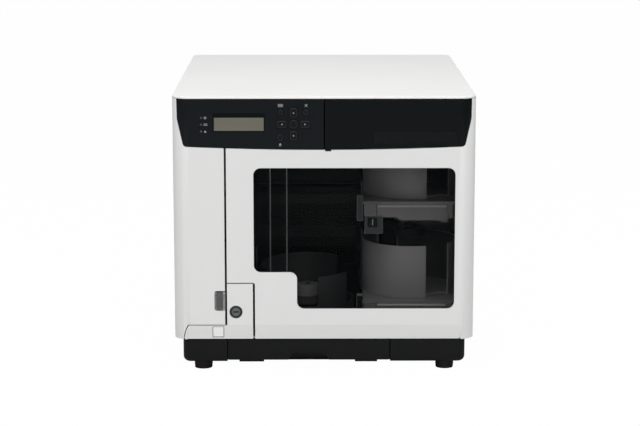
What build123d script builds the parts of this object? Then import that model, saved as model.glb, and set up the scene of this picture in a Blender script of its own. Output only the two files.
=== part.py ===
"""Desktop disc label printer: a white casing with two front doors, a black
control fascia, a swinging disc arm, two disc drives, a printer and three
stackers.  Millimetres.  The origin is on the floor under the middle of the
casing, +X to the right of someone who faces the front, +Y towards the back
and +Z up."""

from build123d import *
import os
from math import cos, hypot, radians, sin

os.makedirs("parts", exist_ok=True)

# ------------------------------------------------------------ casing sizes
WIDTH = 377.0
DEPTH = 493.0
HEIGHT = 348.0
FRONT = -DEPTH / 2
BACK = DEPTH / 2
SIDE = WIDTH / 2

FOOT_HEIGHT = 10.0
BASE_HEIGHT = 30.0
BASE_TOP = FOOT_HEIGHT + BASE_HEIGHT
CASE_BOTTOM = BASE_TOP + 0.8
TOP_PLATE = 2.6
CASE_TOP = HEIGHT - TOP_PLATE - 0.3

WALL = 3.0                # moulded casing wall
LINER_WALL = 2.0          # black inner linings
FRONT_CORNER = 20.0       # plan radius of the casing's front corners
REAR_CORNER = 12.0
INNER_DEPTH = DEPTH / 493.0   # the mechanism keeps its share of the depth
SEAM = 2.6                # open gap round the front doors
SLIP = 0.3                # clearance between parts that only sit together
RUN = 0.06                # radial clearance of a shaft in its bore

# ------------------------------------------------- hinges of the front doors
HINGE_BACK = 42.0         # hinge line behind the front plane
BEAD_RADIUS = 4.0
HINGE_X = SIDE - BEAD_RADIUS
HINGE_Y = FRONT + HINGE_BACK
PANEL_FRONT = HINGE_Y + BEAD_RADIUS + 0.6
PIN_RADIUS = 1.6
PIN_REACH = 12.0

# ------------------------------------------------------ front face divisions
FASCIA_HALF = SIDE - 6.5  # half width of the black fascia at its top
FASCIA_LOW = 282.4        # lowest point of its bottom arc, at the middle
FASCIA_END = 286.4        # height of that arc near its ends
FASCIA_SHOULDER = 319.7   # its sides taper faster below this height
FASCIA_CORNER = 5.0
FASCIA_STEP = 1.0         # fascia surface behind the front plane
FASCIA_WALL = 2.5
FASCIA_GAP = 0.8
COVER_EDGE = -SIDE + 64.1  # right edge of the ink cover
DOOR_EDGE = COVER_EDGE + SEAM
CREASE = 59.5             # the face leans back below this height
LEAN = 3.5
CREASE_HALF = SIDE - 16.5

# ------------------------------------------------------------ inner housing
LINER_RIGHT = SIDE - 10.0
LINER_LEFT = LINER_RIGHT - 277.5
LINER_FRONT = FRONT + 46.0
LINER_BACK = FRONT + 440.0 * INNER_DEPTH
DECK = 2.0
DECK_TOP = CASE_BOTTOM + DECK
LINER_FLOOR = DECK_TOP + LINER_WALL
LINER_TOP = 283.0
LINER_CEILING = LINER_TOP - LINER_WALL
LINER_MID = (LINER_LEFT + LINER_RIGHT) / 2

# ------------------------------------------------------------ disc stations
DISC = 120.0
CUP_INNER = DISC / 2 + 0.5
CUP_WALL = 2.0
CUP_OUTER = CUP_INNER + CUP_WALL
CUP_FLOOR = 2.5
STATION_A = (LINER_RIGHT - 65.0, FRONT + 126.0 * INNER_DEPTH)
STATION_B = (STATION_A[0] - 134.5, FRONT + 164.0 * INNER_DEPTH)
PIVOT = (STATION_A[0] - 47.5, FRONT + 215.0 * INNER_DEPTH)
SHELF_PITCH = 129.0
SHELF_TOP = 207.6         # upper shelf; the lower one is a pitch below
CUP_HEIGHT = 68.0

# ------------------------------------------------------------------- drives
DRIVE_WIDTH = 146.0
DRIVE_HEIGHT = 41.0
DRIVE_DEPTH = 190.0 * INNER_DEPTH
DRIVE_SET = 232.0 * INNER_DEPTH   # drive faces behind the front plane
DRIVE_X = STATION_B[0]
DRIVE_LOW = 113.0
DRIVE_LEVELS = {"drive_2": DRIVE_LOW, "drive_1": DRIVE_LOW + DRIVE_HEIGHT + 0.2}
TRAY_TRAVEL = 145.0
TRAY_WIDTH = 128.0
TRAY_PLATE = 4.0
TRAY_LIPS = {"drive_2": 127.0, "drive_1": 173.0}
LIP_HEIGHT = 14.0
LIP_THICK = 4.0
PRINTER_FLOOR = 200.0
PRINTER_TRAY_LOW = 232.0


def facing(depth):
    """Plane that looks out of the front, a depth behind the front plane."""
    return Plane.XZ.offset(-(FRONT + depth))


def finish(builder, label):
    """Name a finished piece and write it to its own file."""
    builder.part.label = label
    export_step(builder.part, f"parts/{label}.step")


def case_plan(inset):
    """Rounded plan outline of the casing, drawn in from its outer face."""
    with BuildSketch() as plan:
        Rectangle(WIDTH - 2 * inset, DEPTH - 2 * inset)
        rows = plan.vertices().group_by(Axis.Y)
        fillet(rows[0], radius=FRONT_CORNER - inset)
        rows = plan.vertices().group_by(Axis.Y)
        fillet(rows[-1], radius=REAR_CORNER - inset)
    return plan.sketch


def wall_plan(outer_inset, thickness):
    """Plan of a wall that follows the casing's outline."""
    with BuildSketch() as ring:
        add(case_plan(outer_inset))
        add(case_plan(outer_inset + thickness), mode=Mode.SUBTRACT)
    return ring.sketch


def fascia_outline(grow):
    """Front view of the fascia: straight sides, shallow bottom arc."""
    top_half = FASCIA_HALF + grow
    shoulder = top_half - 0.6
    corner = top_half - 8.5
    end = FASCIA_END - grow
    over = CASE_TOP + 3
    with BuildSketch() as outline:
        with BuildLine():
            Polyline((-corner, end), (-shoulder, FASCIA_SHOULDER), (-top_half, over))
            Line((-top_half, over), (top_half, over))
            Polyline((top_half, over), (shoulder, FASCIA_SHOULDER), (corner, end))
            ThreePointArc((corner, end), (0, FASCIA_LOW - grow), (-corner, end))
        make_face()
        fillet(outline.vertices().group_by(Axis.Y)[0], radius=FASCIA_CORNER)
    return outline.sketch


CASE_WALL_PLAN = wall_plan(0, WALL)
FASCIA_WALL_PLAN = wall_plan(FASCIA_STEP, FASCIA_WALL)
FASCIA_SHAPE = fascia_outline(0)
FASCIA_OPENING = fascia_outline(FASCIA_GAP)


def lean_back():
    """Cut the casing's front back in a slope below the crease."""
    with BuildSketch(Plane.YZ.offset(-CREASE_HALF)) as wedge:
        with BuildLine():
            Polyline(
                (FRONT - 2, CREASE),
                (FRONT, CREASE),
                (FRONT + LEAN, CASE_BOTTOM - 1),
                (FRONT - 2, CASE_BOTTOM - 1),
                close=True,
            )
        make_face()
    extrude(wedge.sketch, amount=2 * CREASE_HALF, mode=Mode.SUBTRACT)


# =============================================================== base and feet
BASE_HALF = SIDE - 10.5
BASE_SET = 4.0            # base front behind the front plane
BASE_CORNER = 10.0
BASE_ROUND = 7.0
WELL_LEFT = STATION_B[0] - 101.2
WELL_RIGHT = STATION_B[0] + 104.7
WELL_GAP = 1.2
WELL_DEPTH = 410.0 * INNER_DEPTH
WELL_FLOOR = FOOT_HEIGHT + 2.5
MOUTH_DEPTH = 13.0        # the well's floor starts this far behind the base front
LIP_LENGTH = 12.0
LIP_RISE = 0.4
LIP_SPOTS = ((WELL_LEFT + 30.7, 31.0), (WELL_RIGHT - 30.7, 28.0))
RUNNER = 3.0              # square section of the drawer's runners

with BuildPart() as base_pan:
    with BuildSketch(Plane.XY.offset(FOOT_HEIGHT)):
        with Locations((0, (FRONT + BACK) / 2)):
            RectangleRounded(2 * BASE_HALF, DEPTH - 2 * BASE_SET, BASE_CORNER)
    extrude(amount=BASE_HEIGHT)
    fillet(base_pan.faces().sort_by(Axis.Z)[0].edges(), radius=BASE_ROUND)
    well_width = WELL_RIGHT - WELL_LEFT
    with BuildSketch(Plane.XY.offset(WELL_FLOOR)):
        with Locations(((WELL_LEFT + WELL_RIGHT) / 2, FRONT + WELL_DEPTH / 2)):
            Rectangle(well_width, WELL_DEPTH)
    extrude(amount=BASE_HEIGHT, mode=Mode.SUBTRACT)
    # the floor stops short of the front, but for two lips
    with BuildSketch(Plane.XY.offset(FOOT_HEIGHT - 1)):
        with Locations(((WELL_LEFT + WELL_RIGHT) / 2, FRONT + BASE_SET)):
            Rectangle(well_width, 2 * MOUTH_DEPTH)
    extrude(amount=WELL_FLOOR - FOOT_HEIGHT + 2, mode=Mode.SUBTRACT)
    for lip_x, lip_width in LIP_SPOTS:
        with BuildSketch(Plane.XY.offset(FOOT_HEIGHT + LIP_RISE)):
            with Locations((lip_x, FRONT + BASE_SET + MOUTH_DEPTH + 1 - LIP_LENGTH / 2)):
                Rectangle(lip_width, LIP_LENGTH)
        extrude(amount=WELL_FLOOR - FOOT_HEIGHT - LIP_RISE)
    # side runners that carry the drawer
    for side, edge in ((1, WELL_LEFT), (-1, WELL_RIGHT)):
        with BuildSketch(Plane.XY.offset(WELL_FLOOR)):
            with Locations((edge + side * RUNNER / 2, FRONT + WELL_DEPTH / 2 + 12)):
                Rectangle(RUNNER, WELL_DEPTH - 40)
        extrude(amount=RUNNER)
finish(base_pan, "base_pan")

FOOT_RADIUS = 11.0
FOOT_X = BASE_HALF - 25.0
FOOT_SET = 21.5
FOOT_TAPER = -4
with BuildPart() as rubber_feet:
    with BuildSketch():
        with GridLocations(2 * FOOT_X, DEPTH - 2 * FOOT_SET, 2, 2):
            Circle(FOOT_RADIUS)
    extrude(amount=FOOT_HEIGHT, taper=FOOT_TAPER)
finish(rubber_feet, "rubber_feet")

# ============================================================= pull-out drawer
DRAWER_LEFT = WELL_LEFT + WELL_GAP
DRAWER_RIGHT = WELL_RIGHT - WELL_GAP
DRAWER_LOW = 13.2
DRAWER_HIGH = 39.5
DRAWER_FACE = 4.0
DRAWER_LENGTH = 380.0 * INNER_DEPTH
DRAWER_RIM = 4.0
DRAWER_FLOOR = 3.0
DRAWER_POCKET = DISC / 2 + 1.5
POCKET_WALL = 18.5        # between the disc pocket and the hollow behind it
THUMB_NOTCH = 24.0
WING = 4.0                # side wings that ride on the runners
GRIP_TOP = 22.3
GRIP_HALF = 20.0
GRIP_FLARE = 6.4
GRIP_DEPTH = 13.0

with BuildPart() as drawer:
    drawer_mid = (DRAWER_LEFT + DRAWER_RIGHT) / 2
    drawer_width = DRAWER_RIGHT - DRAWER_LEFT
    with BuildSketch(facing(BASE_SET)):
        with Locations((drawer_mid, (DRAWER_LOW + DRAWER_HIGH) / 2)):
            RectangleRounded(drawer_width, DRAWER_HIGH - DRAWER_LOW, 1.5)
    extrude(amount=-DRAWER_FACE)
    # tray body, narrow enough to pass between the runners
    body_width = drawer_width - 2 * WING
    body_low = WELL_FLOOR + 1.0
    with BuildSketch(facing(BASE_SET + DRAWER_FACE)):
        with Locations((drawer_mid, (body_low + DRAWER_HIGH - 2) / 2)):
            Rectangle(body_width, DRAWER_HIGH - 2 - body_low)
    extrude(amount=-(DRAWER_LENGTH - DRAWER_FACE))
    # side wings ride on top of the runners
    with BuildSketch(facing(BASE_SET + DRAWER_FACE)):
        with Locations((drawer_mid, WELL_FLOOR + RUNNER + SLIP + WING / 2)):
            Rectangle(drawer_width, WING)
    extrude(amount=-(DRAWER_LENGTH - DRAWER_FACE))
    # round disc pocket under the left station, with two thumb notches
    with BuildSketch(Plane.XY.offset(body_low + DRAWER_FLOOR)):
        with Locations(STATION_B):
            Circle(DRAWER_POCKET)
            Rectangle(THUMB_NOTCH, body_width - 34)
    extrude(amount=BASE_HEIGHT, mode=Mode.SUBTRACT)
    # hollow back part
    hollow_front = STATION_B[1] + DRAWER_POCKET + POCKET_WALL + THUMB_NOTCH / 4
    hollow_back = FRONT + BASE_SET + DRAWER_LENGTH - DRAWER_RIM
    with BuildSketch(Plane.XY.offset(body_low + DRAWER_FLOOR)):
        with Locations((drawer_mid, (hollow_front + hollow_back) / 2)):
            Rectangle(body_width - 2 * DRAWER_RIM, hollow_back - hollow_front)
    extrude(amount=BASE_HEIGHT, mode=Mode.SUBTRACT)
    # finger recess in the front's lower edge
    with BuildSketch(facing(BASE_SET - 1)):
        with BuildLine():
            Polyline(
                (drawer_mid - GRIP_HALF - GRIP_FLARE, DRAWER_LOW - 1),
                (drawer_mid - GRIP_HALF, GRIP_TOP),
                (drawer_mid + GRIP_HALF, GRIP_TOP),
                (drawer_mid + GRIP_HALF + GRIP_FLARE, DRAWER_LOW - 1),
                close=True,
            )
        make_face()
    extrude(amount=-(GRIP_DEPTH + 1), mode=Mode.SUBTRACT)
finish(drawer, "drawer")

# ================================================================ chassis deck
DECK_FRONT = FRONT + LEAN + WALL + 1.0
DECK_BACK = BACK - WALL - 3.0
DROP_HOLE = DRAWER_POCKET
DECK_PAD = (12.0, 20.0)
with BuildPart() as chassis_deck:
    with BuildSketch(Plane.XY.offset(CASE_BOTTOM)):
        with Locations((0, (PANEL_FRONT + DECK_BACK) / 2)):
            Rectangle(WIDTH - 2 * WALL - 2 * SLIP, DECK_BACK - PANEL_FRONT)
        with Locations((0, (DECK_FRONT + PANEL_FRONT) / 2)):
            Rectangle(2 * (HINGE_X - BEAD_RADIUS - 0.5), PANEL_FRONT - DECK_FRONT)
        with Locations(STATION_B):
            Circle(DROP_HOLE, mode=Mode.SUBTRACT)
        with GridLocations(2 * FOOT_X, DEPTH - 120, 2, 2):
            Circle(2.2, mode=Mode.SUBTRACT)
    extrude(amount=DECK)
    rear_edges = chassis_deck.edges().filter_by(Axis.Z).group_by(Axis.Y)[-1]
    fillet(rear_edges, radius=REAR_CORNER)
    # pads that space the deck off the base
    with BuildSketch(Plane.XY.offset(CASE_BOTTOM)):
        with GridLocations(2 * (BASE_HALF - 14), DEPTH - 130, 2, 2):
            Rectangle(*DECK_PAD)
    extrude(amount=-(CASE_BOTTOM - BASE_TOP))
finish(chassis_deck, "chassis_deck")

# ============================================================= disc bay lining
LINER_RIB = (6.0, 150.0)
RIB_COUNT = 6
RIB_PITCH = 22.0
LINER_FLANGE = 4.0
with BuildPart() as disc_bay_liner:
    liner_width = LINER_RIGHT - LINER_LEFT
    liner_depth = LINER_BACK - LINER_FRONT
    with BuildSketch(Plane.XY.offset(DECK_TOP)):
        with Locations((LINER_MID, (LINER_FRONT + LINER_BACK) / 2)):
            Rectangle(liner_width, liner_depth)
    extrude(amount=LINER_TOP - DECK_TOP)
    liner_front = disc_bay_liner.faces().sort_by(Axis.Y)[0]
    offset(amount=-LINER_WALL, openings=liner_front)
    with BuildSketch(Plane.XY.offset(DECK_TOP - 1)):
        with Locations(STATION_B):
            Circle(DROP_HOLE)
    extrude(amount=LINER_WALL + 2, mode=Mode.SUBTRACT)
    # pressed ribs stiffen the back wall beside the drives
    with BuildSketch(Plane.XZ.offset(-(LINER_BACK - LINER_WALL))):
        with Locations((LINER_RIGHT - 78.5, (DECK_TOP + LINER_TOP) / 2 - 12)):
            with GridLocations(RIB_PITCH, 0, RIB_COUNT, 1):
                RectangleRounded(*LINER_RIB, 2.5)
    extrude(amount=LINER_WALL)
    # narrow front flange round the opening
    with BuildSketch(Plane.XZ.offset(-LINER_FRONT)):
        with Locations((LINER_MID, (DECK_TOP + LINER_TOP) / 2)):
            Rectangle(liner_width, LINER_TOP - DECK_TOP)
            Rectangle(
                liner_width - 2 * LINER_FLANGE,
                LINER_TOP - DECK_TOP - 2 * LINER_FLANGE,
                mode=Mode.SUBTRACT,
            )
    extrude(amount=-LINER_WALL)
finish(disc_bay_liner, "disc_bay_liner")

# ============================================================= casing panels
TOP_ROUND = 1.6
RIM_SHEET = 2.0
RIM_DROP = 6.0
with BuildPart() as top_cover:
    with BuildSketch(Plane.XY.offset(HEIGHT - TOP_PLATE)):
        add(case_plan(0))
    extrude(amount=TOP_PLATE)
    fillet(top_cover.faces().sort_by(Axis.Z)[-1].edges(), radius=TOP_ROUND)
    # locating rim under the plate, inside the side panels
    with BuildSketch(Plane.XY.offset(HEIGHT - TOP_PLATE)):
        rim_front = PANEL_FRONT + 6
        rim_back = BACK - 8
        rim_width = WIDTH - 2 * WALL - 1
        with Locations((0, (rim_front + rim_back) / 2)):
            Rectangle(rim_width, rim_back - rim_front)
            Rectangle(
                rim_width - 2 * RIM_SHEET, rim_back - rim_front - 2 * RIM_SHEET, mode=Mode.SUBTRACT
            )
        add(case_plan(WALL + 0.5), mode=Mode.INTERSECT)
    extrude(amount=-RIM_DROP)
finish(top_cover, "top_cover")

REAR_LIP = 16.0
RAIL = (3.0, 8.0)         # bottom rail inside each side panel
for side, label in ((-1, "left_side_panel"), (1, "right_side_panel")):
    with BuildPart() as side_panel:
        with BuildSketch(Plane.XY.offset(CASE_BOTTOM)):
            add(CASE_WALL_PLAN)
            panel_mid = (PANEL_FRONT + BACK) / 2
            with Locations((side * (SIDE - REAR_LIP / 2), panel_mid)):
                Rectangle(REAR_LIP, BACK - PANEL_FRONT, mode=Mode.INTERSECT)
        extrude(amount=CASE_TOP - CASE_BOTTOM)
        # inner stiffening rail along the bottom, over the deck
        with BuildSketch(Plane.XY.offset(DECK_TOP + SLIP)):
            with Locations((side * (SIDE - WALL - RAIL[0] / 2), 10)):
                Rectangle(RAIL[0], DEPTH - 100)
        extrude(amount=RAIL[1])
    finish(side_panel, label)

# ----------------------------------------------------------------- rear panel
REAR_SHEET = 1.6
REAR_FACE = BACK - WALL - SLIP
REAR_HALF = SIDE - REAR_LIP - 1.0
REAR_LAP = 3.0            # the sheet reaches this far behind the side lips
FAN_SPOT = (REAR_HALF - 75.5, 232.0)
FAN_SIZE = 80.0
FAN_DEPTH = 25.0
GUARD_RINGS = (12.0, 22.0, 32.0)
GUARD_WIRE = 2.0
INLET_SPOT = (-REAR_HALF + 39.5, 80.0)
INLET_CUT = (27.6, 20.2)
INLET_DEPTH = 22.0
INLET_MOUTH = (23.6, 16.0)
INLET_CORNER = 4.0
CONTACT = (1.8, 4.4)
CONTACT_SPOTS = ((-7.0, -2.0), (7.0, -2.0), (0.0, 2.0))
PORT_SPOT = (INLET_SPOT[0], 128.0)
PORT_CUT = (12.6, 11.4)
PORT_MOUTH = (9.0, 8.0)
PORT_DEPTH = 15.0
BEZEL_SET = 0.2           # the sockets stop short of the casing's back
VENT_SLOT = (36.0, 3.0)
VENT_SPOT = (-REAR_HALF + 53.5, 262.0)
VENT_PITCH = (48.0, 8.0)
VENT_ROWS = 9

with BuildPart() as rear_panel:
    with BuildSketch(Plane.XZ.offset(-REAR_FACE)):
        with Locations((0, (CASE_BOTTOM + CASE_TOP) / 2)):
            Rectangle(2 * (REAR_HALF + REAR_LAP), CASE_TOP - CASE_BOTTOM - 2)
        with Locations(INLET_SPOT):
            Rectangle(*INLET_CUT, mode=Mode.SUBTRACT)
        with Locations(PORT_SPOT):
            Rectangle(*PORT_CUT, mode=Mode.SUBTRACT)
        with Locations(FAN_SPOT):
            Circle(FAN_SIZE / 2 - 3, mode=Mode.SUBTRACT)
        with Locations(VENT_SPOT):
            with GridLocations(*VENT_PITCH, 2, VENT_ROWS):
                SlotOverall(*VENT_SLOT, mode=Mode.SUBTRACT)
    extrude(amount=REAR_SHEET)
    # finger guard: rings and spokes pressed in the sheet over the fan
    with BuildSketch(Plane.XZ.offset(-REAR_FACE)):
        with Locations(FAN_SPOT):
            for ring in GUARD_RINGS:
                Circle(ring + GUARD_WIRE / 2)
                Circle(ring - GUARD_WIRE / 2, mode=Mode.SUBTRACT)
            Rectangle(FAN_SIZE - 4, GUARD_WIRE)
            Rectangle(GUARD_WIRE, FAN_SIZE - 4)
            Circle(GUARD_RINGS[0])
    extrude(amount=REAR_SHEET)
    # bottom flange over the deck
    with BuildSketch(Plane.XY.offset(DECK_TOP + SLIP)):
        with Locations((0, REAR_FACE - REAR_SHEET - 5)):
            Rectangle(2 * REAR_HALF - 20, 10)
    extrude(amount=REAR_SHEET)
finish(rear_panel, "rear_panel")

FAN_BACK = REAR_FACE - REAR_SHEET - SLIP
FAN_PLANE = Plane.XZ.offset(-FAN_BACK)
HUB_RADIUS = 16.0
BLADE_RADIUS = FAN_SIZE / 2 - 3.5
FAN_HOLES = 71.5
FAN_WALL = 2.0
STRUT = 4.0
MOUNT_THICK = 3.0
POST_RADIUS = 2.5
POST_LENGTH = 14.0
with BuildPart() as fan_frame:
    with BuildSketch(FAN_PLANE):
        with Locations(FAN_SPOT):
            RectangleRounded(FAN_SIZE, FAN_SIZE, 4)
            Circle(FAN_SIZE / 2 - FAN_WALL, mode=Mode.SUBTRACT)
            with GridLocations(FAN_HOLES, FAN_HOLES, 2, 2):
                Circle(2.2, mode=Mode.SUBTRACT)
    extrude(amount=FAN_DEPTH)
    # motor mount on three struts at the inner face, with the bearing post
    with BuildSketch(Plane.XZ.offset(-(FAN_BACK - FAN_DEPTH))):
        with Locations(FAN_SPOT):
            Circle(HUB_RADIUS - 1)
            with PolarLocations(0, 3):
                with Locations((FAN_SIZE / 4, 0)):
                    Rectangle(FAN_SIZE / 2, STRUT)
    extrude(amount=-MOUNT_THICK)
    with BuildSketch(Plane.XZ.offset(-(FAN_BACK - FAN_DEPTH + MOUNT_THICK))):
        with Locations(FAN_SPOT):
            Circle(POST_RADIUS)
    extrude(amount=-POST_LENGTH)
finish(fan_frame, "fan_frame")

BLADES = 7
BLADE_PITCH = 38.0
BLADE_SIZE = (12.0, 1.6)
ROTOR_LENGTH = 18.0
BLADE_ROOT = 1.5
with BuildPart() as fan_rotor:
    rotor_near = FAN_BACK - FAN_DEPTH + MOUNT_THICK + 1.0
    with BuildSketch(Plane.XZ.offset(-rotor_near)):
        with Locations(FAN_SPOT):
            Circle(HUB_RADIUS)
            Circle(POST_RADIUS + RUN, mode=Mode.SUBTRACT)
    extrude(amount=-ROTOR_LENGTH)
    # flat pitched blades
    for turn in range(BLADES):
        angle = 360.0 * turn / BLADES
        hub = Vector(FAN_SPOT[0], rotor_near + ROTOR_LENGTH / 2, FAN_SPOT[1])
        out = Vector(cos(radians(angle)), 0, sin(radians(angle)))
        root = hub + out * (HUB_RADIUS - BLADE_ROOT)
        with BuildSketch(Plane(origin=root, z_dir=out, x_dir=(0, 1, 0))):
            Rectangle(*BLADE_SIZE, rotation=BLADE_PITCH)
        extrude(amount=BLADE_RADIUS - HUB_RADIUS + BLADE_ROOT)
finish(fan_rotor, "fan_rotor")

# ------------------------------------------------------- inlet and data port
with BuildPart() as rear_sockets:
    bezel_back = BACK - BEZEL_SET
    with BuildSketch(Plane.XZ.offset(-bezel_back)):
        with Locations(INLET_SPOT):
            RectangleRounded(INLET_CUT[0] + 4, INLET_CUT[1] + 4, 2)
    extrude(amount=bezel_back - REAR_FACE)
    with BuildSketch(Plane.XZ.offset(-REAR_FACE)):
        with Locations(INLET_SPOT):
            Rectangle(INLET_CUT[0] - 2 * SLIP, INLET_CUT[1] - 2 * SLIP)
    extrude(amount=INLET_DEPTH)
    with BuildSketch(Plane.XZ.offset(-bezel_back)) as socket_mouth:
        with Locations(INLET_SPOT):
            Rectangle(*INLET_MOUTH)
        chamfer(socket_mouth.vertices().group_by(Axis.Y)[-1], length=INLET_CORNER)
    extrude(amount=INLET_DEPTH - 5, mode=Mode.SUBTRACT)
    # three flat contacts
    with BuildSketch(Plane.XZ.offset(-(BACK - INLET_DEPTH + 3))):
        with Locations(INLET_SPOT):
            with Locations(*CONTACT_SPOTS):
                Rectangle(*CONTACT)
    extrude(amount=-(INLET_DEPTH - 8))
    # square data socket above the inlet, with its tongue
    with BuildSketch(Plane.XZ.offset(-(REAR_FACE + 1.0))):
        with Locations(PORT_SPOT):
            Rectangle(PORT_CUT[0] - 0.4, PORT_CUT[1] - 0.4)
            Rectangle(*PORT_MOUTH, mode=Mode.SUBTRACT)
    extrude(amount=PORT_DEPTH + 1.0)
    with BuildSketch(Plane.XZ.offset(-(REAR_FACE - PORT_DEPTH))):
        with Locations(PORT_SPOT):
            Rectangle(PORT_CUT[0] - 0.4, PORT_CUT[1] - 0.4)
    extrude(amount=3)
    with BuildSketch(Plane.XZ.offset(-(REAR_FACE - PORT_DEPTH))):
        with Locations(PORT_SPOT):
            Rectangle(0.6 * PORT_MOUTH[0], 3.0)
    extrude(amount=-(PORT_DEPTH - 5))
finish(rear_sockets, "rear_sockets")

# ============================================================== control fascia
PANEL_SHARE = FASCIA_HALF / 182.0   # controls keep their share of the fascia
PANEL_LCD = (-105.5 * PANEL_SHARE, 315.6)
LCD_OPENING = (64.0, 23.0)
LED_X = -152.0 * PANEL_SHARE
LED_SPOTS = ((LED_X, 321.7), (LED_X, 313.3), (LED_X, 304.9))
LED_RADIUS = 1.4
PAD_CENTRE = (-38.0 * PANEL_SHARE, 313.6)
ARM_LONG = 11.5
ARM_SHORT = 8.6
PAD_REACH = 14.2
BUTTON_GAP = 0.45
FASCIA_BACK = FASCIA_STEP + FASCIA_WALL
BUTTON_TRAVEL = 1.0
FLANGE = 1.0
FLANGE_LAP = 0.9          # how far a key's flange reaches under the fascia
STEM_RADIUS = 1.6
BOARD_DEPTH = FASCIA_BACK + SLIP + FLANGE + 5.3
BOARD_SHEET = 1.6
BOARD_SIZE = (148.0 * PANEL_SHARE, 50.0)
BOARD_SPOT = (-86.0 * PANEL_SHARE, 313.0)
HEADER = (26.0, 8.0, 7.0)
STRIP = (150.0 * PANEL_SHARE, 8.0, 3.0)   # mounting strips under the top cover
ROUND_BUTTONS = {
    "button_menu": (PAD_CENTRE[0] - 15.9, PAD_CENTRE[1] + 14.9, 3.6),
    "button_cancel": (PAD_CENTRE[0] + 15.3, PAD_CENTRE[1] + 14.9, 3.6),
    "button_eject": (PAD_CENTRE[0] - 16.4, PAD_CENTRE[1] - 16.6, 4.4),
    "button_ok": (PAD_CENTRE[0], PAD_CENTRE[1], 5.5),
}
ARROW_BUTTONS = {
    "button_up": (PAD_CENTRE[0], PAD_CENTRE[1] + PAD_REACH, ARM_SHORT, ARM_LONG),
    "button_down": (PAD_CENTRE[0], PAD_CENTRE[1] - PAD_REACH, ARM_SHORT, ARM_LONG),
    "button_left": (PAD_CENTRE[0] - PAD_REACH, PAD_CENTRE[1], ARM_LONG, ARM_SHORT),
    "button_right": (PAD_CENTRE[0] + PAD_REACH, PAD_CENTRE[1], ARM_LONG, ARM_SHORT),
}
SLOT_RIGHT = FASCIA_HALF - 15.5
SLOT_LEFT = SLOT_RIGHT - 105.5
SLOT_TOP = 305.0
SLOT_LOW = 289.6
SLOT_WINDOW = (
    (SLOT_LEFT, SLOT_LOW),
    (SLOT_RIGHT, SLOT_LOW + 1.0),
    (SLOT_RIGHT - 3.5, SLOT_TOP),
    (SLOT_LEFT, SLOT_TOP),
)
POCKET = 1.2
HALF_GAP = 0.7            # half the gap between the two fascia halves
TONGUE_X = 5.0
TONGUE_WIDTH = 6.0
TONGUE_DROP = 1.6


def fascia_half(left, right):
    """One half of the fascia wall, clipped between two x positions."""
    with BuildSketch(Plane.XY.offset(FASCIA_LOW - 1)) as wall:
        add(FASCIA_WALL_PLAN)
        with Locations(((left + right) / 2, FRONT + 12)):
            Rectangle(right - left, 24, mode=Mode.INTERSECT)
    extrude(wall.sketch, amount=CASE_TOP - FASCIA_LOW + 1)
    with BuildSketch(facing(-1)) as view:
        add(FASCIA_SHAPE)
    extrude(view.sketch, amount=-26, mode=Mode.INTERSECT)


FASCIA_BEVEL = 1.8
with BuildPart() as fascia_left:
    fascia_half(-FASCIA_HALF, -HALF_GAP)
    brow = fascia_left.faces().sort_by(Axis.Z)[-1].edges().sort_by(Axis.Y)[0]
    chamfer(brow, length=FASCIA_BEVEL)
    with BuildSketch(facing(0)):
        with Locations(PANEL_LCD):
            RectangleRounded(*LCD_OPENING, 1.5)
        with Locations(*LED_SPOTS):
            Circle(LED_RADIUS + 0.2)
        for spot_x, spot_z, radius in ROUND_BUTTONS.values():
            with Locations((spot_x, spot_z)):
                Circle(radius + BUTTON_GAP)
        for spot_x, spot_z, across, tall in ARROW_BUTTONS.values():
            with Locations((spot_x, spot_z)):
                RectangleRounded(across + 2 * BUTTON_GAP, tall + 2 * BUTTON_GAP, 1.2)
    extrude(amount=-8, mode=Mode.SUBTRACT)
    # mounting strip along the inside, under the top cover
    with BuildSketch(Plane.XY.offset(CASE_TOP - STRIP[2])):
        with Locations((-FASCIA_HALF / 2, FRONT + FASCIA_BACK + STRIP[1] / 2)):
            Rectangle(STRIP[0], STRIP[1])
    extrude(amount=STRIP[2])
finish(fascia_left, "fascia_left")

with BuildPart() as fascia_right:
    fascia_half(HALF_GAP, FASCIA_HALF)
    brow = fascia_right.faces().sort_by(Axis.Z)[-1].edges().sort_by(Axis.Y)[0]
    chamfer(brow, length=FASCIA_BEVEL)
    with BuildSketch(facing(0)):
        with BuildLine():
            Polyline(*SLOT_WINDOW, close=True)
        make_face()
    extrude(amount=-(FASCIA_STEP + POCKET), mode=Mode.SUBTRACT)
    with BuildSketch(Plane.XY.offset(CASE_TOP - STRIP[2])):
        with Locations((FASCIA_HALF / 2, FRONT + FASCIA_BACK + STRIP[1] / 2)):
            Rectangle(STRIP[0], STRIP[1])
    extrude(amount=STRIP[2])
    # small catch tongue that shows below the edge, beside the middle gap
    with BuildSketch(Plane.XY.offset(FASCIA_LOW - TONGUE_DROP)):
        with Locations((TONGUE_X, FRONT + FASCIA_BACK - 1)):
            Rectangle(TONGUE_WIDTH, 2)
    extrude(amount=3)
finish(fascia_right, "fascia_right")

with BuildPart() as fascia_window:
    with BuildSketch(facing(FASCIA_STEP + 0.25)):
        with BuildLine():
            Polyline(*SLOT_WINDOW, close=True)
        make_face()
        offset(amount=-0.15, kind=Kind.INTERSECTION, mode=Mode.REPLACE)
    extrude(amount=-(POCKET - 0.35))
finish(fascia_window, "fascia_window")

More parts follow.
